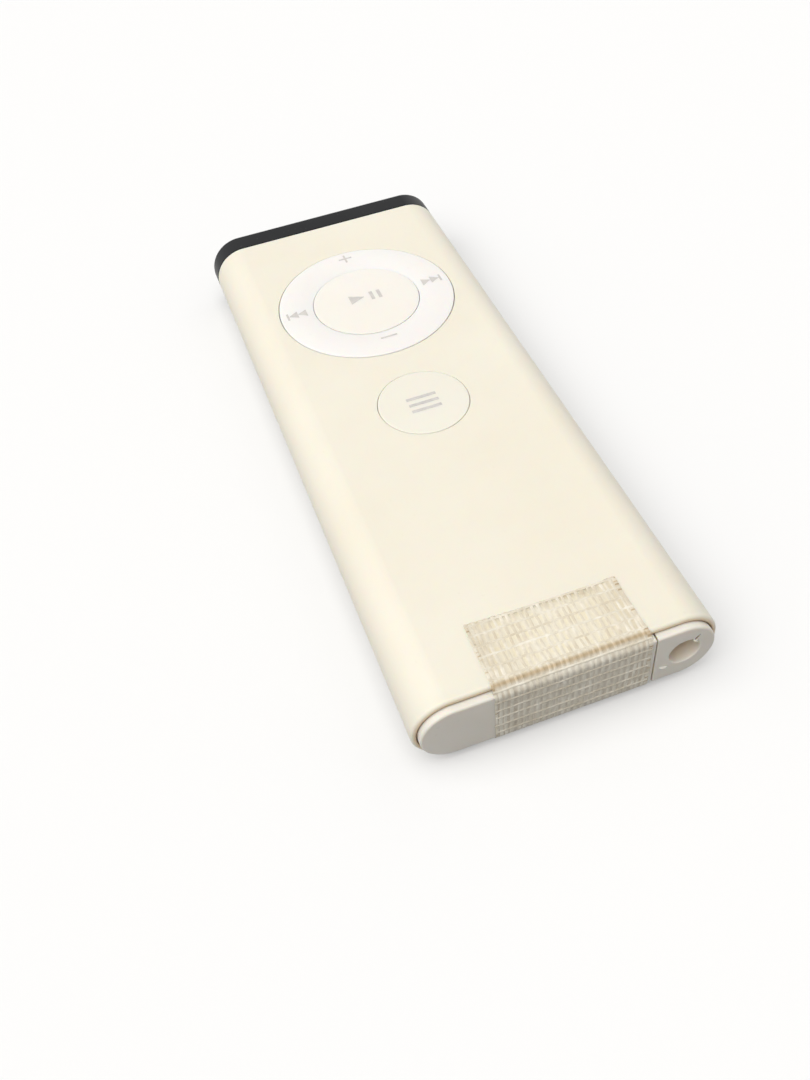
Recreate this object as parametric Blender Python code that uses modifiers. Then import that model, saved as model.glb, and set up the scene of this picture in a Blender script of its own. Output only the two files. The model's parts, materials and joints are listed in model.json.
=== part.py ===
"""Slim infrared handset: a one-piece sleeve closed by a dark window and a sliding coin-cell tray.

The keys face +Z, the window looks along +Y and the tray pulls out along -Y. The origin is the middle
of the flat back.
"""

import math

import bmesh
import bpy
from mathutils import Matrix, Vector

MM = 0.001

# Case
WIDTH = 32.0 * MM
THICKNESS = 8.4 * MM
SLEEVE_LENGTH = 78.5 * MM
WALL = 1.2 * MM
RIM = 0.5 * MM  # wall left outside the cap at the near mouth
REBATE_DEPTH = 1.5 * MM
RIM_ROUND = 0.22 * MM
WINDOW_VISIBLE = 3.2 * MM
WINDOW_ROUND = 0.6 * MM
WINDOW_PLUG = 3.0 * MM
CAP_PROUD = 0.8 * MM
CAP_ROUND = 0.2 * MM
BLOCK_WIDTH = 7.2 * MM  # from the side of the case to the seam between block and tray
ARC_STEPS = 24  # facets round each side of the case

# Clearances
FIT = 0.15 * MM  # between pieces that slide
SEAT = 0.1 * MM  # under pieces that rest or are soldered

# Keys
RING_RADIUS = 11.15 * MM
CENTRE_RADIUS = 6.75 * MM
MENU_RADIUS = 5.27 * MM
RING_FROM_WINDOW = 18.45 * MM
KEY_PITCH = 21.06 * MM
KEY_GAP = 0.15 * MM
KEY_PROUD = 0.05 * MM
KEY_ROUND = 0.18 * MM
CENTRE_DISH = 0.1 * MM
KEY_LIP = 0.8 * MM  # flange under the wall
CENTRE_LIP = 0.35 * MM  # flange under the ring
FLANGE = 0.4 * MM
KEY_LIFT = 0.45 * MM  # room over the flanges, for the tilt
CENTRE_LIFT = 0.3 * MM
NUB_LENGTH = 0.5 * MM
NUB_RADIUS = 0.6 * MM
CENTRE_NUB_RADIUS = 1.2 * MM
DOME_HEIGHT = 0.3 * MM
DOME_SHEET = 0.1 * MM
DOME_RADIUS = 2.2 * MM
RING_DOME_RADIUS = 1.4 * MM
RING_DOME_CIRCLE = 8.3 * MM
ROCKER_INNER = 9.8 * MM
ROCKER_OUTER = 11.1 * MM
ROCKER_SHEET = 0.25 * MM
ROCKER_DROP = 0.36 * MM  # room between rocker and ring, for the tilt
PIVOT_RADIUS = 0.5 * MM
KEY_STEPS = 64
COIN_STEPS = 40
BORE_STEPS = 32
SMALL_STEPS = 16

# Board and what it carries
BOARD_THICKNESS = 0.8 * MM
BOARD_PLAY = 0.35 * MM  # from the board's edge to the rail
BOARD_CORNER = 1.5 * MM
BOARD_FROM_WINDOW = 5.0 * MM
BOARD_FROM_TRAY = 2.1 * MM
SCREW_FROM_RAIL = 2.35 * MM
SCREW_FROM_MENU = 7.0 * MM
SCREW_RADIUS = 0.7 * MM
SCREW_HEAD_RADIUS = 1.3 * MM
SCREW_HEAD_HEIGHT = 0.6 * MM
SCREW_LENGTH = 2.6 * MM
LED_RADIUS = 1.5 * MM
LED_FLANGE_RADIUS = 1.9 * MM
LED_FLANGE = 0.9 * MM
LED_LENGTH = 5.0 * MM
LED_POCKET_RADIUS = 2.4 * MM
LEAD_RADIUS = 0.22 * MM
LEAD_PITCH = 1.27 * MM
LEAD_LENGTH = 4.0 * MM
CHIP_ROUND = 0.2 * MM
CHIP_X = 4.0 * MM
CHIP_SIZE = (7.5 * MM, 5.3 * MM, 1.5 * MM)
RESONATOR_X = -5.5 * MM
RESONATOR_SIZE = (6.0 * MM, 2.2 * MM, 1.7 * MM)
TRANSISTOR_X = -3.0 * MM
TRANSISTOR_SIZE = (2.9 * MM, 1.5 * MM, 1.0 * MM)
RESISTOR_X = 3.0 * MM
RESISTOR_SIZE = (2.0 * MM, 1.25 * MM, 0.5 * MM)
CAPACITOR_X = 5.0 * MM
CAPACITOR_SIZE = (6.0 * MM, 3.2 * MM, 1.9 * MM)

# Inner frame
CHASSIS_FLOOR = 0.7 * MM
CHASSIS_RAIL = 1.3 * MM  # wall beside the board
LEDGE = 1.4 * MM  # shelf under each long edge of the board
RIB = 2.4 * MM

# Coin cell and its tray
COIN_RADIUS = 10.0 * MM
COIN_HEIGHT = 3.2 * MM
COIN_SHEET = 0.25 * MM
COIN_CRIMP = 0.3 * MM  # how far the cap stands over the can
COIN_RIM = 1.15 * MM  # from the cap's edge out to the can's
COIN_PLAY = 0.2 * MM
TRAY_WALL = 1.0 * MM  # between the well and the drawer's flat side
TRAY_FLOOR = 0.85 * MM
TRAY_BACK_WALL = 1.1 * MM
TRAY_LIP = 0.2 * MM  # cell stands this far over the tray wall
TRAY_SIDE = 0.8 * MM  # from the seam in to the drawer's side
LEAF = 0.15 * MM
CONTACT_FOOT = 4.0 * MM
NEGATIVE_WIDTH = 3.0 * MM
POSITIVE_WIDTH = 2.4 * MM

# Release
RELEASE_FROM_SIDE = 3.95 * MM  # from the side of the case to the middle of the hole
HOLE_RADIUS = 1.65 * MM
HOLE_CHAMFER = 0.15 * MM
NOSE_RADIUS = 1.15 * MM
NOSE_DEPTH = 1.6 * MM
PLUNGER_RADIUS = 1.9 * MM
PLUNGER_LENGTH = 7.0 * MM
TAIL_RADIUS = 0.7 * MM
TAIL_LENGTH = 2.2 * MM
CAM_WIDTH = 1.0 * MM
SPRING_RADIUS = 1.3 * MM
SPRING_WIRE = 0.18 * MM  # radius of the wire
SPRING_LENGTH = 6.2 * MM
SPRING_TURNS = 5
POINTS_PER_TURN = 10
LATCH_DEPTH = 0.6 * MM
LATCH_LENGTH = 1.6 * MM
LATCH_WIDTH = 1.0 * MM
LATCH_REACH = 8.5 * MM

# Tape
TAPE_WIDTH = 15.9 * MM
TAPE_X = 0.2 * MM
TAPE_SHEET = 0.22 * MM
TAPE_GAP = 0.06 * MM
TAPE_FLAP_LEFT = 7.6 * MM
TAPE_FLAP_RIGHT = 7.0 * MM
TAPE_FLAP_UNDER = 6.5 * MM
TAPE_BRIDGE = 0.8 * MM  # height of the slanted step from the sleeve to the cap

# Places along the length
length = CAP_PROUD + SLEEVE_LENGTH + WINDOW_VISIBLE
y_front = -length / 2
y_near = y_front + CAP_PROUD
y_far = y_near + SLEEVE_LENGTH
y_end = length / 2
ring_y = y_far - RING_FROM_WINDOW
menu_y = ring_y - KEY_PITCH
cap_back = y_near + REBATE_DEPTH - FIT
coin_y = cap_back + COIN_RADIUS + 3 * COIN_PLAY
tray_back = coin_y + COIN_RADIUS + COIN_PLAY + TRAY_BACK_WALL
chassis_near = tray_back + 2 * FIT
chassis_far = y_far - WINDOW_PLUG - 2 * SEAT
board_near = tray_back + BOARD_FROM_TRAY
board_far = y_far - BOARD_FROM_WINDOW
screw_y = menu_y + SCREW_FROM_MENU
last_rib = board_far - LEAD_LENGTH - RIB
pockets = {"near": (chassis_near, screw_y), "middle": (screw_y, ring_y), "far": (ring_y, last_rib)}

# Heights, worked down from the ceiling of the sleeve
z_mid = THICKNESS / 2
z_floor = WALL
z_ceiling = THICKNESS - WALL
key_top = THICKNESS + KEY_PROUD
flange_top = z_ceiling - KEY_LIFT
flange_bottom = flange_top - FLANGE
nub_bottom = flange_bottom - NUB_LENGTH
dome_top = nub_bottom - SEAT
dome_base = dome_top - DOME_HEIGHT
board_top = dome_base - SEAT
board_bottom = board_top - BOARD_THICKNESS
ledge_top = board_bottom - SEAT
rocker_top = flange_bottom - ROCKER_DROP
pivot_z = rocker_top - ROCKER_SHEET / 2
coin_bottom = z_floor + FIT + TRAY_FLOOR + SEAT
coin_top = coin_bottom + COIN_HEIGHT
cap_radius = COIN_RADIUS - COIN_RIM
tray_top = coin_top - TRAY_LIP

# Places across the width
seam_x = WIDTH / 2 - BLOCK_WIDTH
inner_half = WIDTH / 2 - WALL - FIT
tray_right = seam_x - TRAY_SIDE
coin_x = tray_right - TRAY_WALL - COIN_PLAY - COIN_RADIUS
chassis_arm = tray_right + FIT
bay_half = inner_half - CHASSIS_RAIL
screw_x = bay_half - SCREW_FROM_RAIL
gate_half = POSITIVE_WIDTH / 2 + 3 * FIT  # way for the positive contact
release_x = WIDTH / 2 - RELEASE_FROM_SIDE
bore_radius = PLUNGER_RADIUS + FIT
plunger_front = cap_back + 2 * FIT
plunger_back = plunger_front + PLUNGER_LENGTH
bore_end = plunger_back + SPRING_LENGTH + 2 * SEAT
latch_y = plunger_back - LATCH_LENGTH
cam_near = latch_y - 2 * LATCH_LENGTH
big = WIDTH + length  # reach of a cutter that has to pass right through

for old in list(bpy.data.objects):
    bpy.data.objects.remove(old, do_unlink=True)

parts = bpy.data.collections.new("infrared_remote")
cutters = bpy.data.collections.new("cutters")
for collection in (parts, cutters):
    bpy.context.scene.collection.children.link(collection)


def finish(name, colour, roughness, metallic=0.0):
    """A Principled material with the piece's plain colour."""
    material = bpy.data.materials.new(name)
    material.use_nodes = True
    shader = material.node_tree.nodes["Principled BSDF"]
    shader.inputs["Base Color"].default_value = (*colour, 1.0)
    shader.inputs["Roughness"].default_value = roughness
    shader.inputs["Metallic"].default_value = metallic
    return material


def place(name, mesh, at, turn=(0.0, 0.0, 0.0)):
    """An object at its place, hidden among the cutters until keep() makes it a part."""
    obj = bpy.data.objects.new(name, mesh)
    obj.location = at
    obj.rotation_euler = turn
    obj.hide_render = True
    obj.display_type = "WIRE"
    cutters.objects.link(obj)
    return obj


def keep(obj, name, material, parent=None):
    """Make a solid one of the object's parts."""
    obj.name = obj.data.name = name
    obj.hide_render = False
    obj.display_type = "TEXTURED"
    cutters.objects.unlink(obj)
    parts.objects.link(obj)
    obj.data.materials.clear()
    obj.data.materials.append(material)
    if obj.type == "MESH":
        obj.data.shade_smooth()
        obj.data.set_sharp_from_angle(angle=math.radians(30))
    if parent:
        obj.parent = parent
        obj.matrix_parent_inverse = Matrix.Translation(joint_places[parent.name]).inverted()
    return obj


def boolean(target, tool, operation="DIFFERENCE"):
    modifier = target.modifiers.new(tool.name, "BOOLEAN")
    modifier.operation = operation
    modifier.object = tool
    return target


def rounded(obj, width, segments=3):
    """Round the sharp edges and leave the shallow facets of a curve alone."""
    modifier = obj.modifiers.new("rounding", "BEVEL")
    modifier.width = width
    modifier.segments = segments
    modifier.limit_method = "ANGLE"
    modifier.angle_limit = math.radians(40)
    return obj


def box(name, low, high):
    mesh = bpy.data.meshes.new(name)
    model = bmesh.new()
    bmesh.ops.create_cube(model, size=1.0)
    bmesh.ops.scale(model, vec=[b - a for a, b in zip(low, high)], verts=model.verts)
    model.to_mesh(mesh)
    model.free()
    return place(name, mesh, [(a + b) / 2 for a, b in zip(low, high)])


def cylinder(name, radius, start, end, steps=SMALL_STEPS):
    """A round bar between two points."""
    start, end = Vector(start), Vector(end)
    mesh = bpy.data.meshes.new(name)
    model = bmesh.new()
    bmesh.ops.create_cone(
        model, cap_ends=True, segments=steps, radius1=radius, radius2=radius, depth=(end - start).length
    )
    model.to_mesh(mesh)
    model.free()
    turn = (end - start).to_track_quat("Z", "Y").to_euler()
    return place(name, mesh, (start + end) / 2, turn)


def turned(name, profile, at, steps=KEY_STEPS, closed=False, turn=(0.0, 0.0, 0.0)):
    """A profile of (radius, height) points spun about its own Z axis."""
    mesh = bpy.data.meshes.new(name)
    model = bmesh.new()
    points = [model.verts.new((radius, 0.0, height)) for radius, height in profile]
    for first, second in zip(points, points[1:]):
        model.edges.new((first, second))
    if closed:
        model.edges.new((points[-1], points[0]))
    model.to_mesh(mesh)
    model.free()
    obj = place(name, mesh, at, turn)
    screw = obj.modifiers.new("spin", "SCREW")
    screw.steps = screw.render_steps = steps
    screw.use_merge_vertices = True
    screw.merge_threshold = 0.00001
    return obj


def arc(centre, radius, start, end, steps):
    """Points on an arc, with angles in degrees."""
    angles = [math.radians(start + (end - start) * i / steps) for i in range(steps + 1)]
    return [(centre[0] + radius * math.cos(a), centre[1] + radius * math.sin(a)) for a in angles]


def prism(name, outline, depth, at, turn=(0.0, 0.0, 0.0)):
    """A flat outline given a thickness: a filled 2D curve made into a closed mesh."""
    curve = bpy.data.curves.new(name, "CURVE")
    curve.dimensions = "2D"
    curve.fill_mode = "BOTH"
    curve.extrude = depth / 2
    spline = curve.splines.new("POLY")
    spline.points.add(len(outline) - 1)
    spline.use_cyclic_u = True
    for point, (x, y) in zip(spline.points, outline):
        point.co = (x, y, 0.0, 1.0)
    guide = place(name + "_outline", curve, (0.0, 0.0, 0.0))
    seen = guide.evaluated_get(bpy.context.evaluated_depsgraph_get())
    mesh = bpy.data.meshes.new_from_object(seen)
    bpy.data.objects.remove(guide)
    model = bmesh.new()
    model.from_mesh(mesh)
    bmesh.ops.remove_doubles(model, verts=model.verts, dist=0.000001)
    bmesh.ops.dissolve_limit(model, angle_limit=0.001, verts=model.verts, edges=model.edges)
    bmesh.ops.recalc_face_normals(model, faces=model.faces)
    model.to_mesh(mesh)
    model.free()
    return place(name, mesh, at, turn)


def oval(name, inset, y_from, y_to):
    """A bar along Y with the section of the case, drawn in by an inset."""
    radius = THICKNESS / 2 - inset
    straight = (WIDTH - THICKNESS) / 2
    outline = arc((straight, 0.0), radius, -90, 90, ARC_STEPS)
    outline += arc((-straight, 0.0), radius, 90, 270, ARC_STEPS)
    middle = (0.0, (y_from + y_to) / 2, z_mid)
    return prism(name, outline, abs(y_to - y_from), middle, (math.radians(90), 0.0, 0.0))


def strip(name, path, sheet, across):
    """A bent strip: an open surface swept across its path and given a thickness."""
    mesh = bpy.data.meshes.new(name)
    model = bmesh.new()
    middle = sum((Vector(point) for point in path), Vector()) / len(path)
    points = [model.verts.new(Vector(point) - middle - Vector(across) / 2) for point in path]
    edges = [model.edges.new(pair) for pair in zip(points, points[1:])]
    swept = bmesh.ops.extrude_edge_only(model, edges=edges)["geom"]
    moved = [item for item in swept if isinstance(item, bmesh.types.BMVert)]
    bmesh.ops.translate(model, verts=moved, vec=across)
    bmesh.ops.recalc_face_normals(model, faces=model.faces)
    model.to_mesh(mesh)
    model.free()
    obj = place(name, mesh, middle)
    solidify = obj.modifiers.new("sheet", "SOLIDIFY")
    solidify.thickness = sheet
    solidify.offset = 0.0
    solidify.use_even_offset = True
    return obj


def wire(name, points, radius, smooth_sides=1):
    """A round wire along its points."""
    curve = bpy.data.curves.new(name, "CURVE")
    curve.dimensions = "3D"
    curve.bevel_depth = radius
    curve.bevel_resolution = smooth_sides
    curve.use_fill_caps = True
    spline = curve.splines.new("POLY")
    spline.points.add(len(points) - 1)
    middle = sum((Vector(point) for point in points), Vector()) / len(points)
    for point, where in zip(spline.points, points):
        point.co = (*(Vector(where) - middle), 1.0)
    return place(name, curve, middle)


# Axes of the pieces that move, as empties that carry them
joint_places = {
    "tray_axis": (0.0, y_front, z_mid),
    "plunger_axis": (release_x, plunger_front, z_mid),
    "menu_axis": (0.0, menu_y, key_top),
    "centre_axis": (0.0, ring_y, key_top),
    "tilt_axis": (0.0, ring_y, pivot_z),
}
axes = {}
for axis_name, where in joint_places.items():
    axes[axis_name] = bpy.data.objects.new(axis_name, None)
    axes[axis_name].location = where
    axes[axis_name].empty_display_size = THICKNESS
    parts.objects.link(axes[axis_name])

ivory = finish("ivory_plastic", (0.86, 0.82, 0.70), 0.42)
white = finish("white_plastic", (0.84, 0.81, 0.78), 0.4)
cap_white = finish("cap_plastic", (0.82, 0.78, 0.70), 0.5)
smoke = finish("infrared_plastic", (0.02, 0.021, 0.023), 0.3)
frame = finish("frame_plastic", (0.62, 0.58, 0.50), 0.55)
board_green = finish("board_laminate", (0.02, 0.10, 0.05), 0.5)
steel = finish("spring_steel", (0.55, 0.55, 0.54), 0.3, 1.0)
tin = finish("tinned_copper", (0.66, 0.65, 0.62), 0.35, 1.0)
black = finish("chip_resin", (0.02, 0.02, 0.02), 0.6)
ceramic = finish("ceramic", (0.50, 0.33, 0.12), 0.5)
clear = finish("led_resin", (0.30, 0.32, 0.42), 0.15)
rubber = finish("gasket_nylon", (0.04, 0.04, 0.04), 0.7)
tape_film = finish("filament_tape", (0.80, 0.72, 0.52), 0.35)


def make_sleeve():
    sleeve = rounded(oval("sleeve_block", 0.0, y_near, y_far), RIM_ROUND)
    boolean(sleeve, oval("sleeve_bore", WALL, y_near - WALL, y_far + WALL))
    boolean(sleeve, oval("sleeve_rebate", RIM, y_near - WALL, y_near + REBATE_DEPTH))
    for key, radius, y in (("ring", RING_RADIUS, ring_y), ("menu", MENU_RADIUS, menu_y)):
        hole = cylinder(f"{key}_hole", radius + KEY_GAP, (0, y, z_mid), (0, y, key_top + WALL), KEY_STEPS)
        boolean(sleeve, hole)
    keep(sleeve, "outer_sleeve", ivory)


def make_window():
    """Flush with the sleeve outside, with a plug inside that is hollowed for the diode."""
    window = rounded(oval("window_block", 0.0, y_far - WINDOW_VISIBLE, y_end), WINDOW_ROUND)
    near_side = y_far + SEAT
    boolean(window, box("window_trim", (-WIDTH, y_far - big, -THICKNESS), (WIDTH, near_side, big)))
    plug = oval("window_plug", WALL + FIT, y_far - WINDOW_PLUG, near_side + WINDOW_VISIBLE / 2)
    boolean(window, plug, "UNION")
    led_room = (0, y_far - 2 * WINDOW_PLUG, z_mid), (0, y_far + WINDOW_VISIBLE / 2, z_mid)
    boolean(window, cylinder("led_room", LED_POCKET_RADIUS, *led_room))
    keep(window, "ir_window", smoke)


def cap_plate(name, low_x, high_x):
    """The stretch of the oval end plate between two places across the width."""
    plate = rounded(oval(name, RIM + FIT, y_front, cap_back), CAP_ROUND)
    for side, left, right in (("left", -big, low_x), ("right", high_x, big)):
        boolean(plate, box(f"{name}_{side}", (left, -big, -big), (right, big, big)))
    return plate


def make_end_block():
    block = cap_plate("end_plate", seam_x + FIT / 2, WIDTH)
    hole = [
        (0.0, CAP_PROUD),
        (HOLE_RADIUS + HOLE_CHAMFER + CAP_PROUD, CAP_PROUD),
        (HOLE_RADIUS, -HOLE_CHAMFER),
        (HOLE_RADIUS, -big),
        (0.0, -big),
    ]
    facing_out = (math.radians(90), 0.0, 0.0)
    boolean(block, turned("release_hole", hole, (release_x, y_front, z_mid), BORE_STEPS, turn=facing_out))
    keep(block, "end_block", cap_white)


def make_tray():
    """Drawer with a round well for the cell, carried by its front plate."""
    tray = oval("drawer", WALL + FIT, cap_back - REBATE_DEPTH / 2, tray_back)
    boolean(tray, box("drawer_side", (tray_right, -big, -big), (big, big, big)))
    well = (coin_x, coin_y, coin_bottom - SEAT), (coin_x, coin_y, key_top)
    boolean(tray, cylinder("coin_well", COIN_RADIUS + COIN_PLAY, *well, KEY_STEPS))
    boolean(tray, box("drawer_top", (-big, cap_back, tray_top), (big, big, big)))
    gate_low = (coin_x - gate_half, coin_y + COIN_RADIUS / 2, coin_bottom - SEAT)
    boolean(tray, box("contact_gate", gate_low, (coin_x + gate_half, big, big)))
    catch_half = LATCH_LENGTH / 2 + FIT
    catch_low = (tray_right - LATCH_DEPTH, latch_y - catch_half, z_mid - LATCH_WIDTH)
    boolean(tray, box("latch_catch", catch_low, (big, latch_y + catch_half, z_mid + LATCH_WIDTH)))
    boolean(tray, cap_plate("tray_front", -WIDTH, seam_x - FIT / 2), "UNION")
    keep(tray, "battery_tray", cap_white, axes["tray_axis"])


def make_coin_cell():
    at = (coin_x, coin_y, coin_bottom)
    can_height = COIN_HEIGHT - COIN_CRIMP
    bore = COIN_RADIUS - COIN_SHEET
    can = [(0.0, COIN_SHEET), (bore, COIN_SHEET), (bore, can_height)]
    can += [(COIN_RADIUS - COIN_SHEET / 2, can_height), (COIN_RADIUS, can_height - COIN_SHEET)]
    can += [(COIN_RADIUS, COIN_SHEET), (COIN_RADIUS - COIN_SHEET, 0.0), (0.0, 0.0)]
    keep(turned("can", can, at, COIN_STEPS), "coin_cell_can", steel, axes["tray_axis"])
    low = COIN_SHEET + SEAT
    seal = [(cap_radius + SEAT, can_height + SEAT), (bore - SEAT, can_height + SEAT)]
    seal += [(bore - SEAT, low), (cap_radius + SEAT, low)]
    keep(turned("seal", seal, at, COIN_STEPS, closed=True), "coin_cell_gasket", rubber, axes["tray_axis"])
    edge = cap_radius - COIN_CRIMP
    cap = [(0.0, COIN_HEIGHT), (edge, COIN_HEIGHT), (cap_radius, COIN_HEIGHT - COIN_CRIMP)]
    cap += [(cap_radius, low), (0.0, low)]
    keep(turned("cap", cap, at, COIN_STEPS), "coin_cell_cap", steel, axes["tray_axis"])


def make_chassis():
    """Frame with a shelf for the board, ribbed pockets below it and an arm that holds the release."""
    chassis = oval("chassis_block", WALL + FIT, cap_back + FIT, chassis_far)
    boolean(chassis, box("tray_room", (-big, -big, -big), (chassis_arm, chassis_near, big)))
    boolean(chassis, box("board_room", (-bay_half, chassis_near - FIT, ledge_top), (bay_half, big, big)))
    pocket_half = bay_half - LEDGE
    floor_top = z_floor + FIT + CHASSIS_FLOOR
    for name, (near, far) in pockets.items():
        low = (-pocket_half, near + RIB / 2, floor_top)
        boolean(chassis, box(f"{name}_pocket", low, (pocket_half, far - RIB / 2, big)))
    led_low = (-LED_POCKET_RADIUS, last_rib + RIB / 2, floor_top)
    boolean(chassis, box("led_bay", led_low, (LED_POCKET_RADIUS, big, big)))
    gate_low = (coin_x - gate_half, -big, floor_top)
    boolean(chassis, box("contact_way", gate_low, (coin_x + gate_half, chassis_near + RIB, big)))
    bore = (release_x, -big, z_mid), (release_x, bore_end, z_mid)
    boolean(chassis, cylinder("plunger_bore", bore_radius, *bore, BORE_STEPS))
    latch_low = (tray_right - WALL, cam_near - 2 * FIT, z_mid - LATCH_WIDTH)
    latch_high = (release_x - bore_radius / 2, latch_y + LATCH_REACH, z_mid + LATCH_WIDTH)
    boolean(chassis, box("latch_room", latch_low, latch_high))
    for side in (-1, 1):
        at = (side * screw_x, screw_y, floor_top), (side * screw_x, screw_y, big)
        boolean(chassis, cylinder(f"screw_pilot_{side}", SCREW_RADIUS + SEAT, *at))
    keep(chassis, "inner_chassis", frame)


def make_release():
    """Plunger, its coil spring and the leaf that catches the tray."""
    away = (math.radians(-90), 0.0, 0.0)  # turns the profile's +Z to +Y
    nose_back = plunger_front - y_front
    profile = [
        (0.0, PLUNGER_LENGTH + TAIL_LENGTH),
        (TAIL_RADIUS, PLUNGER_LENGTH + TAIL_LENGTH),
        (TAIL_RADIUS, PLUNGER_LENGTH),
        (PLUNGER_RADIUS, PLUNGER_LENGTH),
        (PLUNGER_RADIUS, 0.0),
        (NOSE_RADIUS, 0.0),
        (NOSE_RADIUS, NOSE_DEPTH - nose_back + HOLE_CHAMFER),
        (NOSE_RADIUS - HOLE_CHAMFER, NOSE_DEPTH - nose_back),
        (0.0, NOSE_DEPTH - nose_back),
    ]
    plunger = turned("plunger", profile, (release_x, plunger_front, z_mid), BORE_STEPS, turn=away)
    leaf_x = chassis_arm + LATCH_DEPTH
    cam_low = (leaf_x + LEAF / 2 + 2 * FIT, cam_near, z_mid - CAM_WIDTH / 2)
    cam = box("cam", cam_low, (release_x, cam_near + CAM_WIDTH, z_mid + CAM_WIDTH / 2))
    keep(boolean(plunger, cam, "UNION"), "release_plunger", ivory, axes["plunger_axis"])

    count = SPRING_TURNS * POINTS_PER_TURN
    start = plunger_back + SEAT + SPRING_WIRE
    rise = SPRING_LENGTH - 2 * SPRING_WIRE - SEAT
    coil = []
    for i in range(count + 1):
        angle = 2 * math.pi * i / POINTS_PER_TURN
        x, z = SPRING_RADIUS * math.cos(angle), SPRING_RADIUS * math.sin(angle)
        coil.append((release_x + x, start + rise * i / count, z_mid + z))
    keep(wire("coil", coil, SPRING_WIRE), "plunger_spring", steel)
    turn_gap = min(
        (Vector(coil[i]) - Vector(coil[j])).length - 2 * SPRING_WIRE
        for i in range(count + 1)
        for j in range(i + POINTS_PER_TURN // 2, count + 1)
    )
    print(f"plunger_spring: least gap to itself {turn_gap / MM:.2f} mm")

    tip_x = tray_right - LATCH_DEPTH / 2
    half = LATCH_LENGTH / 2
    path = [
        (leaf_x, latch_y + LATCH_REACH - SEAT, z_mid),
        (leaf_x, latch_y + half, z_mid),
        (tip_x, latch_y, z_mid),
        (leaf_x, latch_y - half, z_mid),
        (leaf_x, cam_near + CAM_WIDTH / 2, z_mid),
    ]
    keep(strip("leaf", path, LEAF, (0, 0, LATCH_WIDTH)), "latch_spring", steel)


def key_profile(radius, lip, top_of_flange, bottom, nub_radius, dish=0.0):
    """Half section of a pressed key: a rounded top, a flange that holds it in and a nub underneath."""
    under = top_of_flange - FLANGE
    edge = radius - KEY_ROUND
    steps = 4 if dish else 0
    profile = [(edge * i / steps, key_top - dish * (1 - (i / steps) ** 2)) for i in range(steps)]
    profile = profile or [(0.0, key_top)]
    profile += [point for point in reversed(arc((edge, key_top - KEY_ROUND), KEY_ROUND, 0, 90, 3))]
    profile += [(radius, top_of_flange), (radius + lip, top_of_flange), (radius + lip, under)]
    profile += [(nub_radius, under), (nub_radius, bottom), (0.0, bottom)]
    return profile


def turned_key(name, profile, origin_z, y, closed=False):
    """A turned key whose origin is on its joint."""
    lowered = [(radius, height - origin_z) for radius, height in profile]
    return turned(name, lowered, (0.0, y, origin_z), closed=closed)


def make_keys():
    menu = key_profile(MENU_RADIUS, KEY_GAP + KEY_LIP, flange_top, nub_bottom, CENTRE_NUB_RADIUS)
    keep(turned_key("menu", menu, key_top, menu_y), "menu_button", ivory, axes["menu_axis"])

    ring_bore = CENTRE_RADIUS + KEY_GAP
    centre = key_profile(
        CENTRE_RADIUS, KEY_GAP + CENTRE_LIP, flange_bottom, nub_bottom, CENTRE_NUB_RADIUS, CENTRE_DISH
    )
    keep(turned_key("centre", centre, key_top, ring_y), "centre_button", white, axes["centre_axis"])

    rim = RING_RADIUS + KEY_GAP + KEY_LIP
    step = ring_bore + CENTRE_LIP + CENTRE_LIFT
    centre_roof = flange_bottom + CENTRE_LIFT
    ring = arc((ring_bore + KEY_ROUND, key_top - KEY_ROUND), KEY_ROUND, 180, 90, 3)
    ring += arc((RING_RADIUS - KEY_ROUND, key_top - KEY_ROUND), KEY_ROUND, 90, 0, 3)
    ring += [(RING_RADIUS, flange_top), (rim, flange_top), (rim, flange_bottom), (step, flange_bottom)]
    ring += [(step, centre_roof), (ring_bore, centre_roof)]
    ring_key = turned_key("ring", ring, pivot_z, ring_y, closed=True)
    for name, (x, y) in ring_domes.items():
        nub = (x, y, nub_bottom), (x, y, flange_bottom + FLANGE)
        boolean(ring_key, cylinder(f"nub_{name}", NUB_RADIUS, *nub), "UNION")
    keep(ring_key, "direction_ring", white, axes["tilt_axis"])

    rocker = [(ROCKER_INNER, rocker_top), (ROCKER_OUTER, rocker_top)]
    rocker += [(ROCKER_OUTER, rocker_top - ROCKER_SHEET), (ROCKER_INNER, rocker_top - ROCKER_SHEET)]
    carrier = turned_key("rocker", rocker, pivot_z, ring_y, closed=True)
    middle = (ROCKER_INNER + ROCKER_OUTER) / 2
    for side in (-1, 1):
        foot = (side * middle, ring_y, board_top + SEAT), (side * middle, ring_y, pivot_z)
        boolean(carrier, cylinder(f"foot_{side}", PIVOT_RADIUS, *foot), "UNION")
        bump = (0, ring_y + side * middle, pivot_z), (0, ring_y + side * middle, flange_bottom - SEAT)
        boolean(carrier, cylinder(f"bump_{side}", PIVOT_RADIUS, *bump), "UNION")
    keep(carrier, "ring_rocker", frame, axes["tilt_axis"])


def make_dome(name, x, y, radius):
    """A thin snap dome whose rim stands on the board."""
    steps = 4
    crown = [(radius * i / steps, DOME_HEIGHT * (1 - (i / steps) ** 2)) for i in range(steps)]
    outer = crown + [(radius, 0.0)]
    inner = [(r * (1 - DOME_SHEET / radius), h - DOME_SHEET) for r, h in reversed(crown[:-1])]
    inner = [(radius - 2 * DOME_SHEET, 0.0)] + inner
    keep(turned(f"snap_{name}", outer + inner, (x, y, dome_base), SMALL_STEPS), f"dome_{name}", steel)


ring_domes = {
    "up": (0.0, ring_y + RING_DOME_CIRCLE),
    "down": (0.0, ring_y - RING_DOME_CIRCLE),
    "left": (-RING_DOME_CIRCLE, ring_y),
    "right": (RING_DOME_CIRCLE, ring_y),
}


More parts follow.
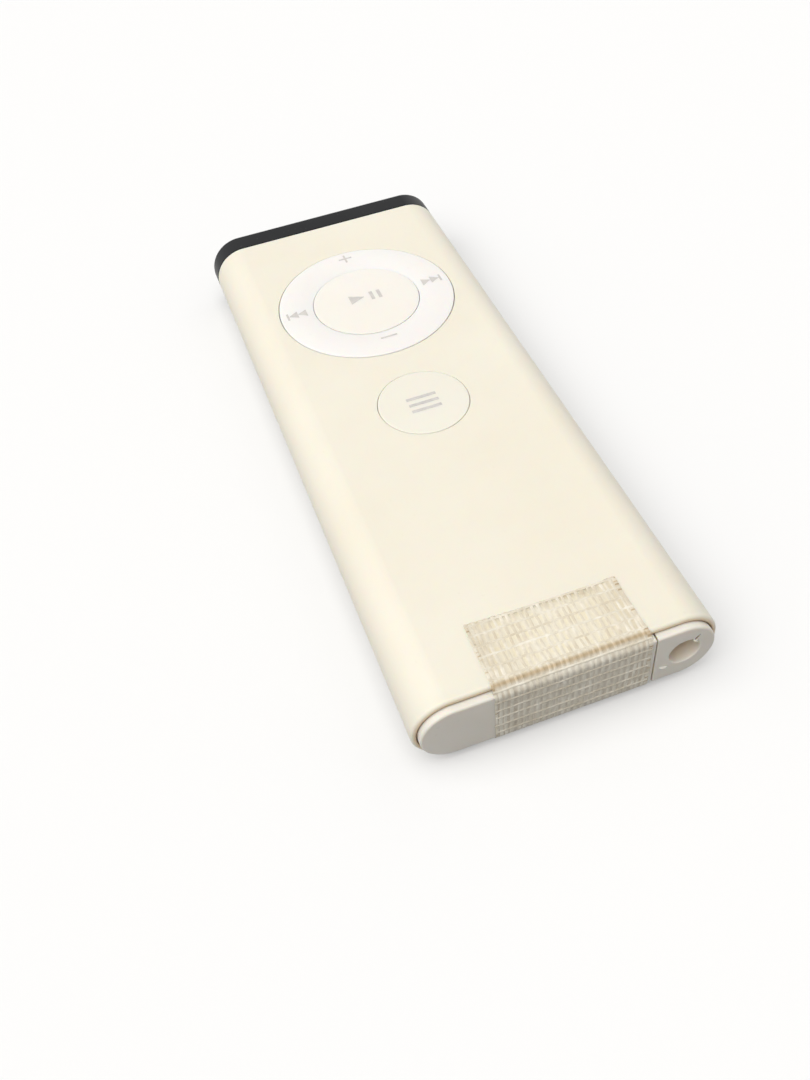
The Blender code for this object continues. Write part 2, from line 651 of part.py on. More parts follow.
def make_board():
    half, corner = bay_half - BOARD_PLAY, BOARD_CORNER
    half_long = (board_far - board_near) / 2
    outline = []
    for number, (sx, sy) in enumerate(((1, 1), (-1, 1), (-1, -1), (1, -1))):
        centre = (sx * (half - corner), sy * (half_long - corner))
        outline += arc(centre, corner, 90 * number, 90 * number + 90, 4)
    at = (0.0, (board_near + board_far) / 2, (board_top + board_bottom) / 2)
    board = prism("board_blank", outline, BOARD_THICKNESS, at)
    for number, side in enumerate((-1, 1), start=1):
        x = side * screw_x
        bolt_hole = (x, screw_y, ledge_top - SEAT), (x, screw_y, dome_top)
        boolean(board, cylinder(f"bolt_hole_{number}", SCREW_RADIUS + FIT, *bolt_hole))
        head = board_top + SEAT
        screw = [(0.0, SCREW_HEAD_HEIGHT), (SCREW_HEAD_RADIUS * 0.7, SCREW_HEAD_HEIGHT)]
        screw += [(SCREW_HEAD_RADIUS, SCREW_HEAD_HEIGHT / 2), (SCREW_HEAD_RADIUS, 0.0), (SCREW_RADIUS, 0.0)]
        screw += [(SCREW_RADIUS, -SCREW_LENGTH), (0.0, -SCREW_LENGTH - SCREW_RADIUS / 2)]
        keep(turned(f"bolt_{number}", screw, (x, screw_y, head), SMALL_STEPS), f"board_screw_{number}", steel)
    keep(board, "circuit_board", board_green)

    for name, (x, y) in ring_domes.items():
        make_dome(name, x, y, RING_DOME_RADIUS)
    make_dome("centre", 0.0, ring_y, DOME_RADIUS)
    make_dome("menu", 0.0, menu_y, DOME_RADIUS)


# Parts soldered under the board: place across, pocket of the frame that it hangs in, size and material
components = {
    "microcontroller": (CHIP_X, "middle", CHIP_SIZE, black),
    "ceramic_resonator": (RESONATOR_X, "middle", RESONATOR_SIZE, ceramic),
    "driver_transistor": (TRANSISTOR_X, "far", TRANSISTOR_SIZE, black),
    "series_resistor": (RESISTOR_X, "far", RESISTOR_SIZE, black),
    "reservoir_capacitor": (CAPACITOR_X, "near", CAPACITOR_SIZE, ceramic),
}


def make_components():
    for name, (x, pocket, (wide, deep, tall), material) in components.items():
        y = sum(pockets[pocket]) / 2
        low = (x - wide / 2, y - deep / 2, ledge_top - tall)
        body = box(name + "_body", low, (x + wide / 2, y + deep / 2, ledge_top))
        keep(rounded(body, min(CHIP_ROUND, tall / 4), 1), name, material)


def make_diode():
    """Infrared diode on its two leads, looking through the window."""
    back = board_far + SEAT
    dome = arc((0.0, LED_LENGTH - LED_RADIUS), LED_RADIUS, 90, 0, 5)
    profile = dome + [(LED_RADIUS, LED_FLANGE), (LED_FLANGE_RADIUS, LED_FLANGE)]
    profile += [(LED_FLANGE_RADIUS, 0.0), (0.0, 0.0)]
    forward = (math.radians(-90), 0.0, 0.0)
    keep(turned("diode", profile, (0.0, back, z_mid), BORE_STEPS, turn=forward), "ir_led", clear)
    lead_z = ledge_top - LEAD_RADIUS
    for number, side in enumerate((-1, 1), start=1):
        x = side * LEAD_PITCH
        points = [(x, back - SEAT, lead_z), (x, back - LEAD_LENGTH, lead_z)]
        keep(wire(f"lead_{number}_wire", points, LEAD_RADIUS), f"led_lead_{number}", tin)


def make_contacts():
    """Leaf contacts: one presses on the cell's cap, the other on the side of its can."""
    foot_z = board_top + SEAT + LEAF
    leaf_z = coin_top + SEAT + LEAF
    path = [
        (coin_x, board_near + CONTACT_FOOT, foot_z),
        (coin_x, board_near, foot_z),
        (coin_x, tray_back, leaf_z),
        (coin_x, coin_y + COIN_RADIUS / 4, leaf_z),
        (coin_x, coin_y + COIN_RADIUS / 8, leaf_z - SEAT / 2),
        (coin_x, coin_y, leaf_z + SEAT),
    ]
    keep(strip("negative", path, LEAF, (NEGATIVE_WIDTH, 0, 0)), "negative_contact", steel)

    rim = coin_y + COIN_RADIUS + SEAT + LEAF
    foot_z = ledge_top - LEAF / 2
    path = [
        (coin_x, board_near + CONTACT_FOOT, foot_z),
        (coin_x, board_near, foot_z),
        (coin_x, tray_back + SEAT, foot_z - LEAF),
        (coin_x, rim + LEAF, foot_z - 2 * LEAF),
        (coin_x, rim, foot_z - 4 * LEAF),
        (coin_x, rim, foot_z - 8 * LEAF),
    ]
    keep(strip("positive", path, LEAF, (POSITIVE_WIDTH, 0, 0)), "positive_contact", steel)


def make_tape():
    """Tape from the top of the sleeve, down over the end and on to the back."""
    out = TAPE_GAP + TAPE_SHEET / 2
    top, under = THICKNESS + out, -out
    face = y_front - out
    bend = y_near - out / 2
    path = [
        (TAPE_X, y_near + TAPE_FLAP_LEFT, top),
        (TAPE_X, bend, top),
        (TAPE_X, face, THICKNESS - TAPE_BRIDGE),
        (TAPE_X, face, TAPE_BRIDGE),
        (TAPE_X, bend, under),
        (TAPE_X, y_near + TAPE_FLAP_UNDER, under),
    ]
    tape = strip("tape", path, TAPE_SHEET, (TAPE_WIDTH, 0, 0))
    flap_corner = max(tape.data.vertices, key=lambda vertex: (vertex.co.z, vertex.co.y, vertex.co.x))
    flap_corner.co.y -= TAPE_FLAP_LEFT - TAPE_FLAP_RIGHT
    keep(tape, "filament_tape", tape_film, axes["tray_axis"])


make_sleeve()
make_window()
make_end_block()
make_tray()
make_coin_cell()
make_chassis()
make_release()
make_keys()
make_board()
make_components()
make_diode()
make_contacts()
make_tape()
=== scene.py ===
import json
import math
import random

import bmesh
import bpy
from mathutils import Matrix, Vector, noise


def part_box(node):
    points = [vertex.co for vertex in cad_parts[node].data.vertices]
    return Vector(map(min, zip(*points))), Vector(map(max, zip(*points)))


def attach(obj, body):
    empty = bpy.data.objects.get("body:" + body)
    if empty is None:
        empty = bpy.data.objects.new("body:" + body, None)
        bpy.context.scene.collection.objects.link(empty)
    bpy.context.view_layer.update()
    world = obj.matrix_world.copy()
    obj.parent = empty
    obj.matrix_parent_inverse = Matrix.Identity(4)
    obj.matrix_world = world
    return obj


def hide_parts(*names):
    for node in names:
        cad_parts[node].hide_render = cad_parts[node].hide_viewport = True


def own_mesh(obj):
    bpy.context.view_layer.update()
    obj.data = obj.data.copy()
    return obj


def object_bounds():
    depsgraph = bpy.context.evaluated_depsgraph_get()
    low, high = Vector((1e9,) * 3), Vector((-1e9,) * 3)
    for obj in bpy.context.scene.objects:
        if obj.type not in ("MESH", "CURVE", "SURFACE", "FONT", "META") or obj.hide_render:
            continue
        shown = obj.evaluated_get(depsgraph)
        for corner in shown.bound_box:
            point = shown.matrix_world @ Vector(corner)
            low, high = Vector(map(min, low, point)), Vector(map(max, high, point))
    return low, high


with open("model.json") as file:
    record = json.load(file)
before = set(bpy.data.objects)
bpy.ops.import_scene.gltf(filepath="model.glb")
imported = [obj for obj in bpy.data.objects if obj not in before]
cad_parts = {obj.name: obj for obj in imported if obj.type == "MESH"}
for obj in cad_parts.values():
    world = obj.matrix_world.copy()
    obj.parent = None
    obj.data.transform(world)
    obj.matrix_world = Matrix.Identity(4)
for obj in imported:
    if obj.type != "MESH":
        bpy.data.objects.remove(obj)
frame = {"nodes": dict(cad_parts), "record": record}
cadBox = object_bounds()
nodes = frame["nodes"]
mm = 0.001
print("frame loaded:", len(nodes), "nodes")

# sizes that the frame gives
sleeveLow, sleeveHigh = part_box("outer_sleeve")
windowLow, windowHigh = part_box("ir_window")
blockLow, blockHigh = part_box("end_block")
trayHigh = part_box("battery_tray")[1]
ringLow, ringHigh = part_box("direction_ring")
lowerLow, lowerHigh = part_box("menu_button")
cellLow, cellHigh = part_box("coin_cell_can")
plungerLow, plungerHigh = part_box("release_plunger")

thick = sleeveHigh.z - sleeveLow.z
zMid = (sleeveHigh.z + sleeveLow.z) / 2
straight = (sleeveHigh.x - sleeveLow.x - thick) / 2  # from the middle to the start of a rounded side
yNear, yFar = sleeveLow.y, sleeveHigh.y
yFront, capBack = blockLow.y, blockHigh.y
capInset = sleeveHigh.x - blockHigh.x
keyTop = ringHigh.z
ringY = (ringLow.y + ringHigh.y) / 2
lowerY = (lowerLow.y + lowerHigh.y) / 2
flangeBottom = lowerLow.z + 0.5 * mm  # the nubs hang half a millimetre under the flanges
tiny = 0.01 * mm  # two places closer than this are the same


# helpers for modelling by operators

def clearPick():
    bpy.ops.object.select_all(action="DESELECT")


def activate(piece):
    clearPick()
    piece.select_set(True)
    bpy.context.view_layer.objects.active = piece


def startEdit(piece):
    activate(piece)
    bpy.ops.object.mode_set(mode="EDIT")


def endEdit():
    bpy.ops.object.mode_set(mode="OBJECT")


def pick(piece, test, kind="VERT"):  # selects what has every corner pass the test
    bpy.ops.mesh.select_mode(type=kind)
    bpy.ops.mesh.select_all(action="DESELECT")
    model = bmesh.from_edit_mesh(piece.data)
    for item in {"VERT": model.verts, "EDGE": model.edges, "FACE": model.faces}[kind]:
        corners = [item] if kind == "VERT" else item.verts
        if all(test(corner.co) for corner in corners):
            item.select_set(True)
    model.select_flush_mode()
    bmesh.update_edit_mesh(piece.data)


def pickOrder(piece, order):  # selects vertices by their numbers
    bpy.ops.mesh.select_mode(type="VERT")
    bpy.ops.mesh.select_all(action="DESELECT")
    model = bmesh.from_edit_mesh(piece.data)
    model.verts.ensure_lookup_table()
    for number in order:
        model.verts[number].select_set(True)
    model.select_flush(True)
    bmesh.update_edit_mesh(piece.data)


def picked(piece):
    model = bmesh.from_edit_mesh(piece.data)
    return [(vertex.index, vertex.co.copy()) for vertex in model.verts if vertex.select]


def roundEdges(piece, test, width, segments=3):
    pick(piece, test, "EDGE")
    bpy.ops.mesh.bevel(offset=width, segments=segments, profile=0.5, affect="EDGES")


def closeMesh(piece):  # merges the seams and turns every face outwards
    bpy.ops.mesh.select_mode(type="VERT")
    bpy.ops.mesh.select_all(action="SELECT")
    bpy.ops.mesh.remove_doubles(threshold=0.001 * mm)
    bpy.ops.mesh.normals_make_consistent(inside=False)


def fillLoop(piece, order):
    pickOrder(piece, order)
    bpy.ops.mesh.edge_face_add()


def settle(name, scale=(1, 1, 1)):  # names the new primitive and puts its place and size into its mesh
    piece = bpy.context.object
    piece.name = name
    piece.scale = scale
    bpy.ops.object.transform_apply(location=True, rotation=True, scale=True)
    return piece


def addCylinder(name, radius, start, end, sides=64):
    clearPick()
    start, end = Vector(start), Vector(end)
    turn = (end - start).to_track_quat("Z", "Y").to_euler()
    bpy.ops.mesh.primitive_cylinder_add(
        vertices=sides, radius=radius, depth=(end - start).length, location=(start + end) / 2, rotation=turn
    )
    return settle(name)


def addBlock(name, low, high):
    clearPick()
    bpy.ops.mesh.primitive_cube_add(size=1, location=[(a + b) / 2 for a, b in zip(low, high)])
    return settle(name, [b - a for a, b in zip(low, high)])


def carve(piece, tool, operation="DIFFERENCE"):
    change = piece.modifiers.new("carve", "BOOLEAN")
    change.operation = operation
    change.solver = "EXACT"
    change.object = tool
    activate(piece)
    bpy.ops.object.modifier_apply(modifier=change.name)
    bpy.data.objects.remove(tool)


def softenEdges(piece, width, segments=2, angle=40):
    change = piece.modifiers.new("soften", "BEVEL")
    change.width = width
    change.segments = segments
    change.limit_method = "ANGLE"
    change.angle_limit = math.radians(angle)
    activate(piece)
    bpy.ops.object.modifier_apply(modifier=change.name)


def finishPiece(piece, body, material, replaced=(), angle=32):
    activate(piece)
    bpy.ops.object.shade_smooth_by_angle(angle=math.radians(angle))
    change = piece.modifiers.new("evenFaces", "WEIGHTED_NORMAL")  # keeps the big flats flat
    change.keep_sharp = True
    bpy.ops.object.modifier_apply(modifier=change.name)
    piece.data.materials.clear()
    piece.data.materials.append(material)
    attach(piece, body)
    if replaced:
        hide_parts(*replaced)
    print("made", piece.name, "with", len(piece.data.polygons), "faces")
    return piece


def soilAndShade(piece, amount):  # brown dirt and painted shade, from 0 to 1 at each vertex
    dirtAndShade = piece.data.attributes.new("dirtAndShade", "FLOAT", "POINT")
    for vertex in piece.data.vertices:
        dirtAndShade.data[vertex.index].value = amount(vertex.co)


# the oval of the case, used by every shell

ovalSet = {"segments": 96}  # a multiple of four, so that the flats and the sides touch the case's box


def ovalInset(place):  # how far a point lies inside the case's outline
    across = max(abs(place.x) - straight, 0)
    return thick / 2 - math.hypot(across, place.z - zMid)


def atStation(inset, y):
    return lambda place: abs(place.y - y) < tiny and abs(ovalInset(place) - inset) < tiny


def ovalSweep(name, stations, closed=False):  # a circle pulled apart, then extruded from station to station
    inset, y = stations[0]
    count = ovalSet["segments"]
    half = math.pi / count
    clearPick()
    bpy.ops.mesh.primitive_circle_add(
        vertices=count, radius=(thick / 2 - inset) / math.cos(half), location=(0, y, zMid),
        rotation=(math.pi / 2, half, 0),
    )
    piece = settle(name)
    startEdit(piece)
    for side in (-1, 1):
        pick(piece, lambda place: place.x * side > 0)
        bpy.ops.transform.translate(value=(side * straight, 0, 0))
    pickOrder(piece, range(count))
    for nextInset, nextY in stations[1:]:
        bpy.ops.mesh.extrude_region_move(TRANSFORM_OT_translate={"value": (0, nextY - y, 0)})
        loop = picked(piece)
        scale = (thick / 2 - nextInset) / (thick / 2 - inset)
        for side in (-1, 1):
            pickOrder(piece, [number for number, place in loop if place.x * side > 0])
            bpy.ops.transform.resize(value=(scale, 1, scale), center_override=(side * straight, nextY, zMid))
        last = [number for number, place in loop]
        pickOrder(piece, last)
        inset, y = nextInset, nextY
    if not closed:
        fillLoop(piece, last)
        fillLoop(piece, range(count))
    closeMesh(piece)
    return piece


def turnSweep(name, centre, stations, closed=False, count=128):  # a circle extruded and scaled, as on a lathe
    radius, z = stations[0]
    clearPick()
    bpy.ops.mesh.primitive_circle_add(vertices=count, radius=radius, location=(centre[0], centre[1], z))
    piece = settle(name)
    startEdit(piece)
    bpy.ops.mesh.select_all(action="SELECT")
    for nextRadius, nextZ in stations[1:]:
        bpy.ops.mesh.extrude_region_move(TRANSFORM_OT_translate={"value": (0, 0, nextZ - z)})
        scale = nextRadius / radius
        bpy.ops.transform.resize(value=(scale, scale, 1), center_override=(centre[0], centre[1], nextZ))
        radius, z = nextRadius, nextZ
    last = [number for number, place in picked(piece)]
    if not closed:
        fillLoop(piece, last)
        fillLoop(piece, range(count))
    closeMesh(piece)
    return piece


def onCircle(centre, radius, z):
    def test(place):
        reach = math.hypot(place.x - centre[0], place.y - centre[1])
        return abs(place.z - z) < tiny and abs(reach - radius) < 2 * tiny
    return test


# node groups that more than one material uses

def feed(tree, socket, source):  # source is a fixed value or a socket of another node
    if isinstance(source, bpy.types.NodeSocket):
        tree.links.new(source, socket)
    else:
        socket.default_value = source


def addNode(tree, kind, settings={}, values={}):
    made = tree.nodes.new("ShaderNode" + kind)
    for name, value in settings.items():
        setattr(made, name, value)
    for name, value in values.items():
        feed(tree, made.inputs[name], value)
    return made


def addNoise(tree, place, scale, detail=2.0, rough=0.5):
    values = {"Vector": place, "Scale": scale, "Detail": detail, "Roughness": rough}
    return addNode(tree, "TexNoise", {}, values).outputs["Fac"]


def mixColour(tree, factor, first, second):
    return addNode(tree, "Mix", {"data_type": "RGBA"}, {0: factor, 6: first, 7: second}).outputs[2]


def spread(tree, source, low, high, newLow=0.0, newHigh=1.0):  # stretches a part of a value's range
    values = {"Value": source, "From Min": low, "From Max": high, "To Min": newLow, "To Max": newHigh}
    return addNode(tree, "MapRange", {}, values).outputs[0]


def mathNode(tree, operation, first, second):
    return addNode(tree, "Math", {"operation": operation}, {0: first, 1: second}).outputs[0]


def startGroup(name, inputs, outputs):
    group = bpy.data.node_groups.new(name, "ShaderNodeTree")
    kinds = {"value": "NodeSocketFloat", "colour": "NodeSocketColor", "vector": "NodeSocketVector"}
    for label, kind in inputs:
        group.interface.new_socket(name=label, in_out="INPUT", socket_type=kinds[kind])
    for label, kind in outputs:
        group.interface.new_socket(name=label, in_out="OUTPUT", socket_type=kinds[kind])
    return group, group.nodes.new("NodeGroupInput").outputs, group.nodes.new("NodeGroupOutput").inputs


def makeAgedTone():  # patches of yellowing and faint specks
    inputs = [("Place", "vector"), ("Fresh", "colour"), ("Aged", "colour"), ("Speck", "colour")]
    inputs += [("Patch Scale", "value"), ("Speck Scale", "value"), ("Speck Amount", "value")]
    group, given, result = startGroup("agedTone", inputs, [("Colour", "colour"), ("Patches", "value")])
    patches = spread(group, addNoise(group, given["Place"], given["Patch Scale"], 5.0, 0.55), 0.34, 0.68)
    tone = mixColour(group, patches, given["Fresh"], given["Aged"])
    speck = addNoise(group, given["Place"], given["Speck Scale"], 2.0, 0.4)
    specks = mathNode(group, "MULTIPLY", spread(group, speck, 0.70, 0.78), given["Speck Amount"])
    feed(group, result["Colour"], mixColour(group, specks, tone, given["Speck"]))
    feed(group, result["Patches"], patches)
    return group


def makeMouldGrain():  # the fine spark-eroded grain of a moulding and its slow waviness
    inputs = [("Place", "vector"), ("Grain Scale", "value"), ("Wave Scale", "value"), ("Wave Share", "value")]
    inputs += [("Smoothest", "value"), ("Roughest", "value")]
    group, given, result = startGroup("mouldGrain", inputs, [("Height", "value"), ("Roughness", "value")])
    grain = addNoise(group, given["Place"], given["Grain Scale"], 3.0, 0.6)
    wave = addNoise(group, given["Place"], given["Wave Scale"], 1.0)
    waves = mathNode(group, "MULTIPLY", wave, given["Wave Share"])
    feed(group, result["Height"], mathNode(group, "ADD", grain, waves))
    shine = addNoise(group, given["Place"], given["Wave Scale"], 6.0, 0.65)
    feed(group, result["Roughness"], spread(group, shine, 0.3, 0.7, given["Smoothest"], given["Roughest"]))
    return group


def makeScuffs():  # short fine scratches that run one way
    inputs = [("Place", "vector"), ("Stretch", "vector"), ("Scale", "value"), ("Amount", "value")]
    group, given, result = startGroup("scuffs", inputs, [("Mask", "value")])
    drawn = addNode(group, "VectorMath", {"operation": "MULTIPLY"}, {0: given["Place"], 1: given["Stretch"]})
    thin = spread(group, addNoise(group, drawn.outputs[0], given["Scale"], 3.0, 0.7), 0.66, 0.74)
    where = spread(group, addNoise(group, given["Place"], 90.0), 0.45, 0.62)
    patchy = mathNode(group, "MULTIPLY", thin, where)
    feed(group, result["Mask"], mathNode(group, "MULTIPLY", patchy, given["Amount"]))
    return group


agedTone = makeAgedTone()
mouldGrain = makeMouldGrain()
scuffs = makeScuffs()
print("node groups built")


# materials

def startMaterial(name):
    material = bpy.data.materials.new(name)
    material.use_nodes = True
    tree = material.node_tree
    return material, tree, tree.nodes["Principled BSDF"], addNode(tree, "TexCoord").outputs["Object"]


def opaque(colour):
    return (*colour, 1)


def addGroup(tree, group, values):
    return addNode(tree, "Group", {"node_tree": group}, values).outputs


def addBump(tree, shader, height, distance):
    bump = addNode(tree, "Bump", {}, {"Strength": 1.0, "Distance": distance, "Height": height})
    feed(tree, shader.inputs["Normal"], bump.outputs["Normal"])


def readAttribute(tree, name):
    return addNode(tree, "Attribute", {"attribute_name": name}).outputs["Fac"]


def setShader(tree, shader, values):
    for name, value in values.items():
        feed(tree, shader.inputs[name], value)


plasticSet = {  # colours, patches per metre, specks, roughness, grain in mm, scuffs, share of light that sinks in
    "ivoryPlastic": {"fresh": (0.866, 0.820, 0.704), "aged": (0.843, 0.790, 0.662), "speck": (0.66, 0.58, 0.44),
                     "patch": 55, "specks": 0.10, "rough": (0.46, 0.58), "grain": 0.004, "scuff": 0.10, "glow": 0.35},
    "keyIvory": {"fresh": (0.866, 0.834, 0.736), "aged": (0.850, 0.812, 0.704), "speck": (0.66, 0.58, 0.44),
                 "patch": 80, "specks": 0.08, "rough": (0.34, 0.46), "grain": 0.004, "scuff": 0.08, "glow": 0.35},
    "ringWhite": {"fresh": (0.912, 0.887, 0.866), "aged": (0.893, 0.859, 0.828), "speck": (0.62, 0.55, 0.48),
                  "patch": 70, "specks": 0.08, "rough": (0.30, 0.42), "grain": 0.003, "scuff": 0.10, "glow": 0.35},
    "centreWhite": {"fresh": (0.915, 0.876, 0.816), "aged": (0.898, 0.854, 0.780), "speck": (0.62, 0.55, 0.48),
                    "patch": 90, "specks": 0.08, "rough": (0.30, 0.42), "grain": 0.003, "scuff": 0.08, "glow": 0.35},
    "capPlastic": {"fresh": (0.830, 0.788, 0.710), "aged": (0.795, 0.745, 0.655), "speck": (0.40, 0.33, 0.24),
                   "patch": 120, "specks": 0.08, "rough": (0.38, 0.52), "grain": 0.006, "scuff": 0.30, "glow": 0.35},
    "framePlastic": {"fresh": (0.620, 0.580, 0.500), "aged": (0.560, 0.515, 0.430), "speck": (0.30, 0.25, 0.18),
                     "patch": 100, "specks": 0.20, "rough": (0.45, 0.60), "grain": 0.010,
                     "scuff": 0.15, "glow": 0.15},
}
# tan, then dark brown from darkFrom up, painted for dirt and for the shade in gaps, the nick and the release hole
dirtShadeSet = {"tan": (0.72, 0.53, 0.32), "tanShare": 0.8, "dark": (0.24, 0.15, 0.08), "darkFrom": 0.7}


def makePlastic(name):
    settings = plasticSet[name]
    material, tree, shader, place = startMaterial(name)
    tone = addGroup(tree, agedTone, {
        "Place": place, "Fresh": opaque(settings["fresh"]), "Aged": opaque(settings["aged"]),
        "Speck": opaque(settings["speck"]), "Patch Scale": settings["patch"], "Speck Scale": 1900,
        "Speck Amount": settings["specks"],
    })
    grain = addGroup(tree, mouldGrain, {
        "Place": place, "Grain Scale": 5200, "Wave Scale": 130, "Wave Share": 2.0,
        "Smoothest": settings["rough"][0], "Roughest": settings["rough"][1],
    })
    marks = addGroup(tree, scuffs, {
        "Place": place, "Stretch": (1.0, 0.12, 1.0), "Scale": 1500, "Amount": settings["scuff"],
    })
    pale = mixColour(tree, marks["Mask"], tone["Colour"], (0.93, 0.91, 0.86, 1))
    # a vertex attribute paints brown: dirt on the lip, and painted shade in the gaps, the nick and the release hole;
    # tan first and dark brown from darkFrom up
    dirtAndShade, darkFrom = readAttribute(tree, "dirtAndShade"), dirtShadeSet["darkFrom"]
    tanned = spread(tree, dirtAndShade, 0.0, darkFrom, 0.0, dirtShadeSet["tanShare"])
    soiledShaded = mixColour(tree, tanned, pale, opaque(dirtShadeSet["tan"]))
    soiledShaded = mixColour(tree, spread(tree, dirtAndShade, darkFrom, 1.0), soiledShaded, opaque(dirtShadeSet["dark"]))
    rough = mathNode(tree, "ADD", grain["Roughness"], mathNode(tree, "MULTIPLY", marks["Mask"], 0.25))
    addBump(tree, shader, grain["Height"], settings["grain"] * mm)
    setShader(tree, shader, {
        "Base Color": soiledShaded, "Roughness": rough, "IOR": 1.46, "Subsurface Weight": settings["glow"],
        "Subsurface Radius": (1.0, 0.55, 0.25), "Subsurface Scale": 0.8 * mm,
        "Coat Weight": 0.25, "Coat Roughness": 0.3,
    })
    return material


def makeWindowPlastic():  # smoked plastic that only infrared passes, with a soft sheen
    material, tree, shader, place = startMaterial("smokedPlastic")
    tone = addGroup(tree, agedTone, {
        "Place": place, "Fresh": (0.013, 0.0135, 0.0145, 1), "Aged": (0.018, 0.0185, 0.0195, 1),
        "Speck": (0.15, 0.15, 0.15, 1), "Patch Scale": 140, "Speck Scale": 2600, "Speck Amount": 0.25,
    })
    grain = addGroup(tree, mouldGrain, {
        "Place": place, "Grain Scale": 4200, "Wave Scale": 160, "Wave Share": 1.0,
        "Smoothest": 0.30, "Roughest": 0.42,
    })
    addBump(tree, shader, grain["Height"], 0.004 * mm)
    setShader(tree, shader, {
        "Base Color": tone["Colour"], "Roughness": grain["Roughness"], "Specular IOR Level": 0.10,
    })
    return material


metalSet = {  # two tones, the way the brushing runs, and roughness
    "springSteel": {"bright": (0.62, 0.61, 0.59), "dull": (0.46, 0.45, 0.43),
                    "run": (1, 0.08, 1), "rough": (0.24, 0.40)},
    "cellSteel": {"bright": (0.66, 0.65, 0.63), "dull": (0.61, 0.60, 0.58),
                  "run": (0.1, 1, 1), "rough": (0.20, 0.32)},
    "tinnedWire": {"bright": (0.70, 0.69, 0.66), "dull": (0.52, 0.51, 0.49),
                   "run": (1, 1, 1), "rough": (0.28, 0.45)},
}


def makeMetal(name):
    settings = metalSet[name]
    material, tree, shader, place = startMaterial(name)
    brushed = addNode(tree, "Mapping", {}, {"Scale": settings["run"], "Vector": place})
    lines = addNoise(tree, brushed.outputs[0], 4500.0, 4.0, 0.6)
    stain = spread(tree, addNoise(tree, place, 260.0, 5.0), 0.4, 0.7)
    addBump(tree, shader, lines, 0.003 * mm)
    setShader(tree, shader, {
        "Base Color": mixColour(tree, stain, opaque(settings["bright"]), opaque(settings["dull"])),
        "Roughness": spread(tree, lines, 0.3, 0.7, *settings["rough"]), "Metallic": 1.0,
    })
    return material


def makeLaminate():  # green solder mask over copper tracks
    material, tree, shader, place = startMaterial("boardLaminate")
    tracks = addNode(tree, "TexBrick", {"offset": 0.37, "squash": 1.6, "squash_frequency": 3}, {
        "Vector": place, "Color1": (0, 0, 0, 1), "Color2": (0.25, 0.25, 0.25, 1), "Mortar": (1, 1, 1, 1),
        "Scale": 210.0, "Mortar Size": 0.018, "Brick Width": 0.9, "Row Height": 0.31,
    }).outputs["Color"]
    tone = addGroup(tree, agedTone, {
        "Place": place, "Fresh": (0.014, 0.085, 0.040, 1), "Aged": (0.020, 0.110, 0.052, 1),
        "Speck": (0.30, 0.33, 0.25, 1), "Patch Scale": 150, "Speck Scale": 1500, "Speck Amount": 0.35,
    })
    mask = mathNode(tree, "MULTIPLY", tracks, 0.55)
    addBump(tree, shader, tracks, 0.02 * mm)
    setShader(tree, shader, {
        "Base Color": mixColour(tree, mask, tone["Colour"], (0.045, 0.200, 0.085, 1)),
        "Roughness": spread(tree, tone["Patches"], 0, 1, 0.32, 0.46),
    })
    return material


smallSet = {  # tones and roughness of the little bought parts
    "chipResin": {"fresh": (0.022, 0.022, 0.023), "aged": (0.040, 0.039, 0.038),
                  "rough": (0.45, 0.65), "grain": 0.012},
    "coatedCeramic": {"fresh": (0.50, 0.33, 0.12), "aged": (0.42, 0.26, 0.09),
                      "rough": (0.35, 0.55), "grain": 0.015},
    "gasketNylon": {"fresh": (0.035, 0.035, 0.036), "aged": (0.055, 0.053, 0.050),
                    "rough": (0.55, 0.75), "grain": 0.010},
}


def makeSmall(name):
    settings = smallSet[name]
    material, tree, shader, place = startMaterial(name)
    tone = addGroup(tree, agedTone, {
        "Place": place, "Fresh": opaque(settings["fresh"]), "Aged": opaque(settings["aged"]),
        "Speck": (0.5, 0.47, 0.42, 1), "Patch Scale": 400, "Speck Scale": 3000, "Speck Amount": 0.2,
    })
    grain = addGroup(tree, mouldGrain, {
        "Place": place, "Grain Scale": 6000, "Wave Scale": 500, "Wave Share": 0.6,
        "Smoothest": settings["rough"][0], "Roughest": settings["rough"][1],
    })
    addBump(tree, shader, grain["Height"], settings["grain"] * mm)
    setShader(tree, shader, {"Base Color": tone["Colour"], "Roughness": grain["Roughness"]})
    return material


def makeLampResin():  # tinted clear body of the diode
    material, tree, shader, place = startMaterial("lampResin")
    cloud = addNoise(tree, place, 700.0, 3.0)
    setShader(tree, shader, {
        "Base Color": mixColour(tree, cloud, (0.34, 0.36, 0.50, 1), (0.22, 0.23, 0.36, 1)),
        "Roughness": spread(tree, cloud, 0.3, 0.7, 0.06, 0.16), "Transmission Weight": 0.6, "IOR": 1.5,
    })
    return material


def makeKeyPrint():  # worn light grey ink of the key signs
    material, tree, shader, place = startMaterial("keyPrint")
    worn = addNoise(tree, place, 1600.0, 5.0, 0.7)
    faded = spread(tree, worn, 0.40, 0.72)
    addBump(tree, shader, worn, 0.004 * mm)
    setShader(tree, shader, {
        "Base Color": mixColour(tree, faded, (0.58, 0.55, 0.525, 1), (0.73, 0.69, 0.65, 1)),
        "Roughness": spread(tree, worn, 0.3, 0.7, 0.40, 0.60),
    })
    return material


filmSet = {  # two tones where it is stuck, two where it spans air, then painted shade between the yarns, brown of stains and of a painted shadow along the crease, and dark flecks
    "stuck": ((0.93, 0.85, 0.64), (0.985, 0.93, 0.79)), "loose": ((0.88, 0.80, 0.66), (0.99, 0.94, 0.84)),
    "cellShade": (0.42, 0.37, 0.29), "stainAndShade": (0.47, 0.35, 0.20), "fleck": (0.10, 0.07, 0.04),
    "cover": (0.92, 0.80), "thinning": 0.7, "rough": (0.22, 0.40), "wrinkle": 0.03,
}


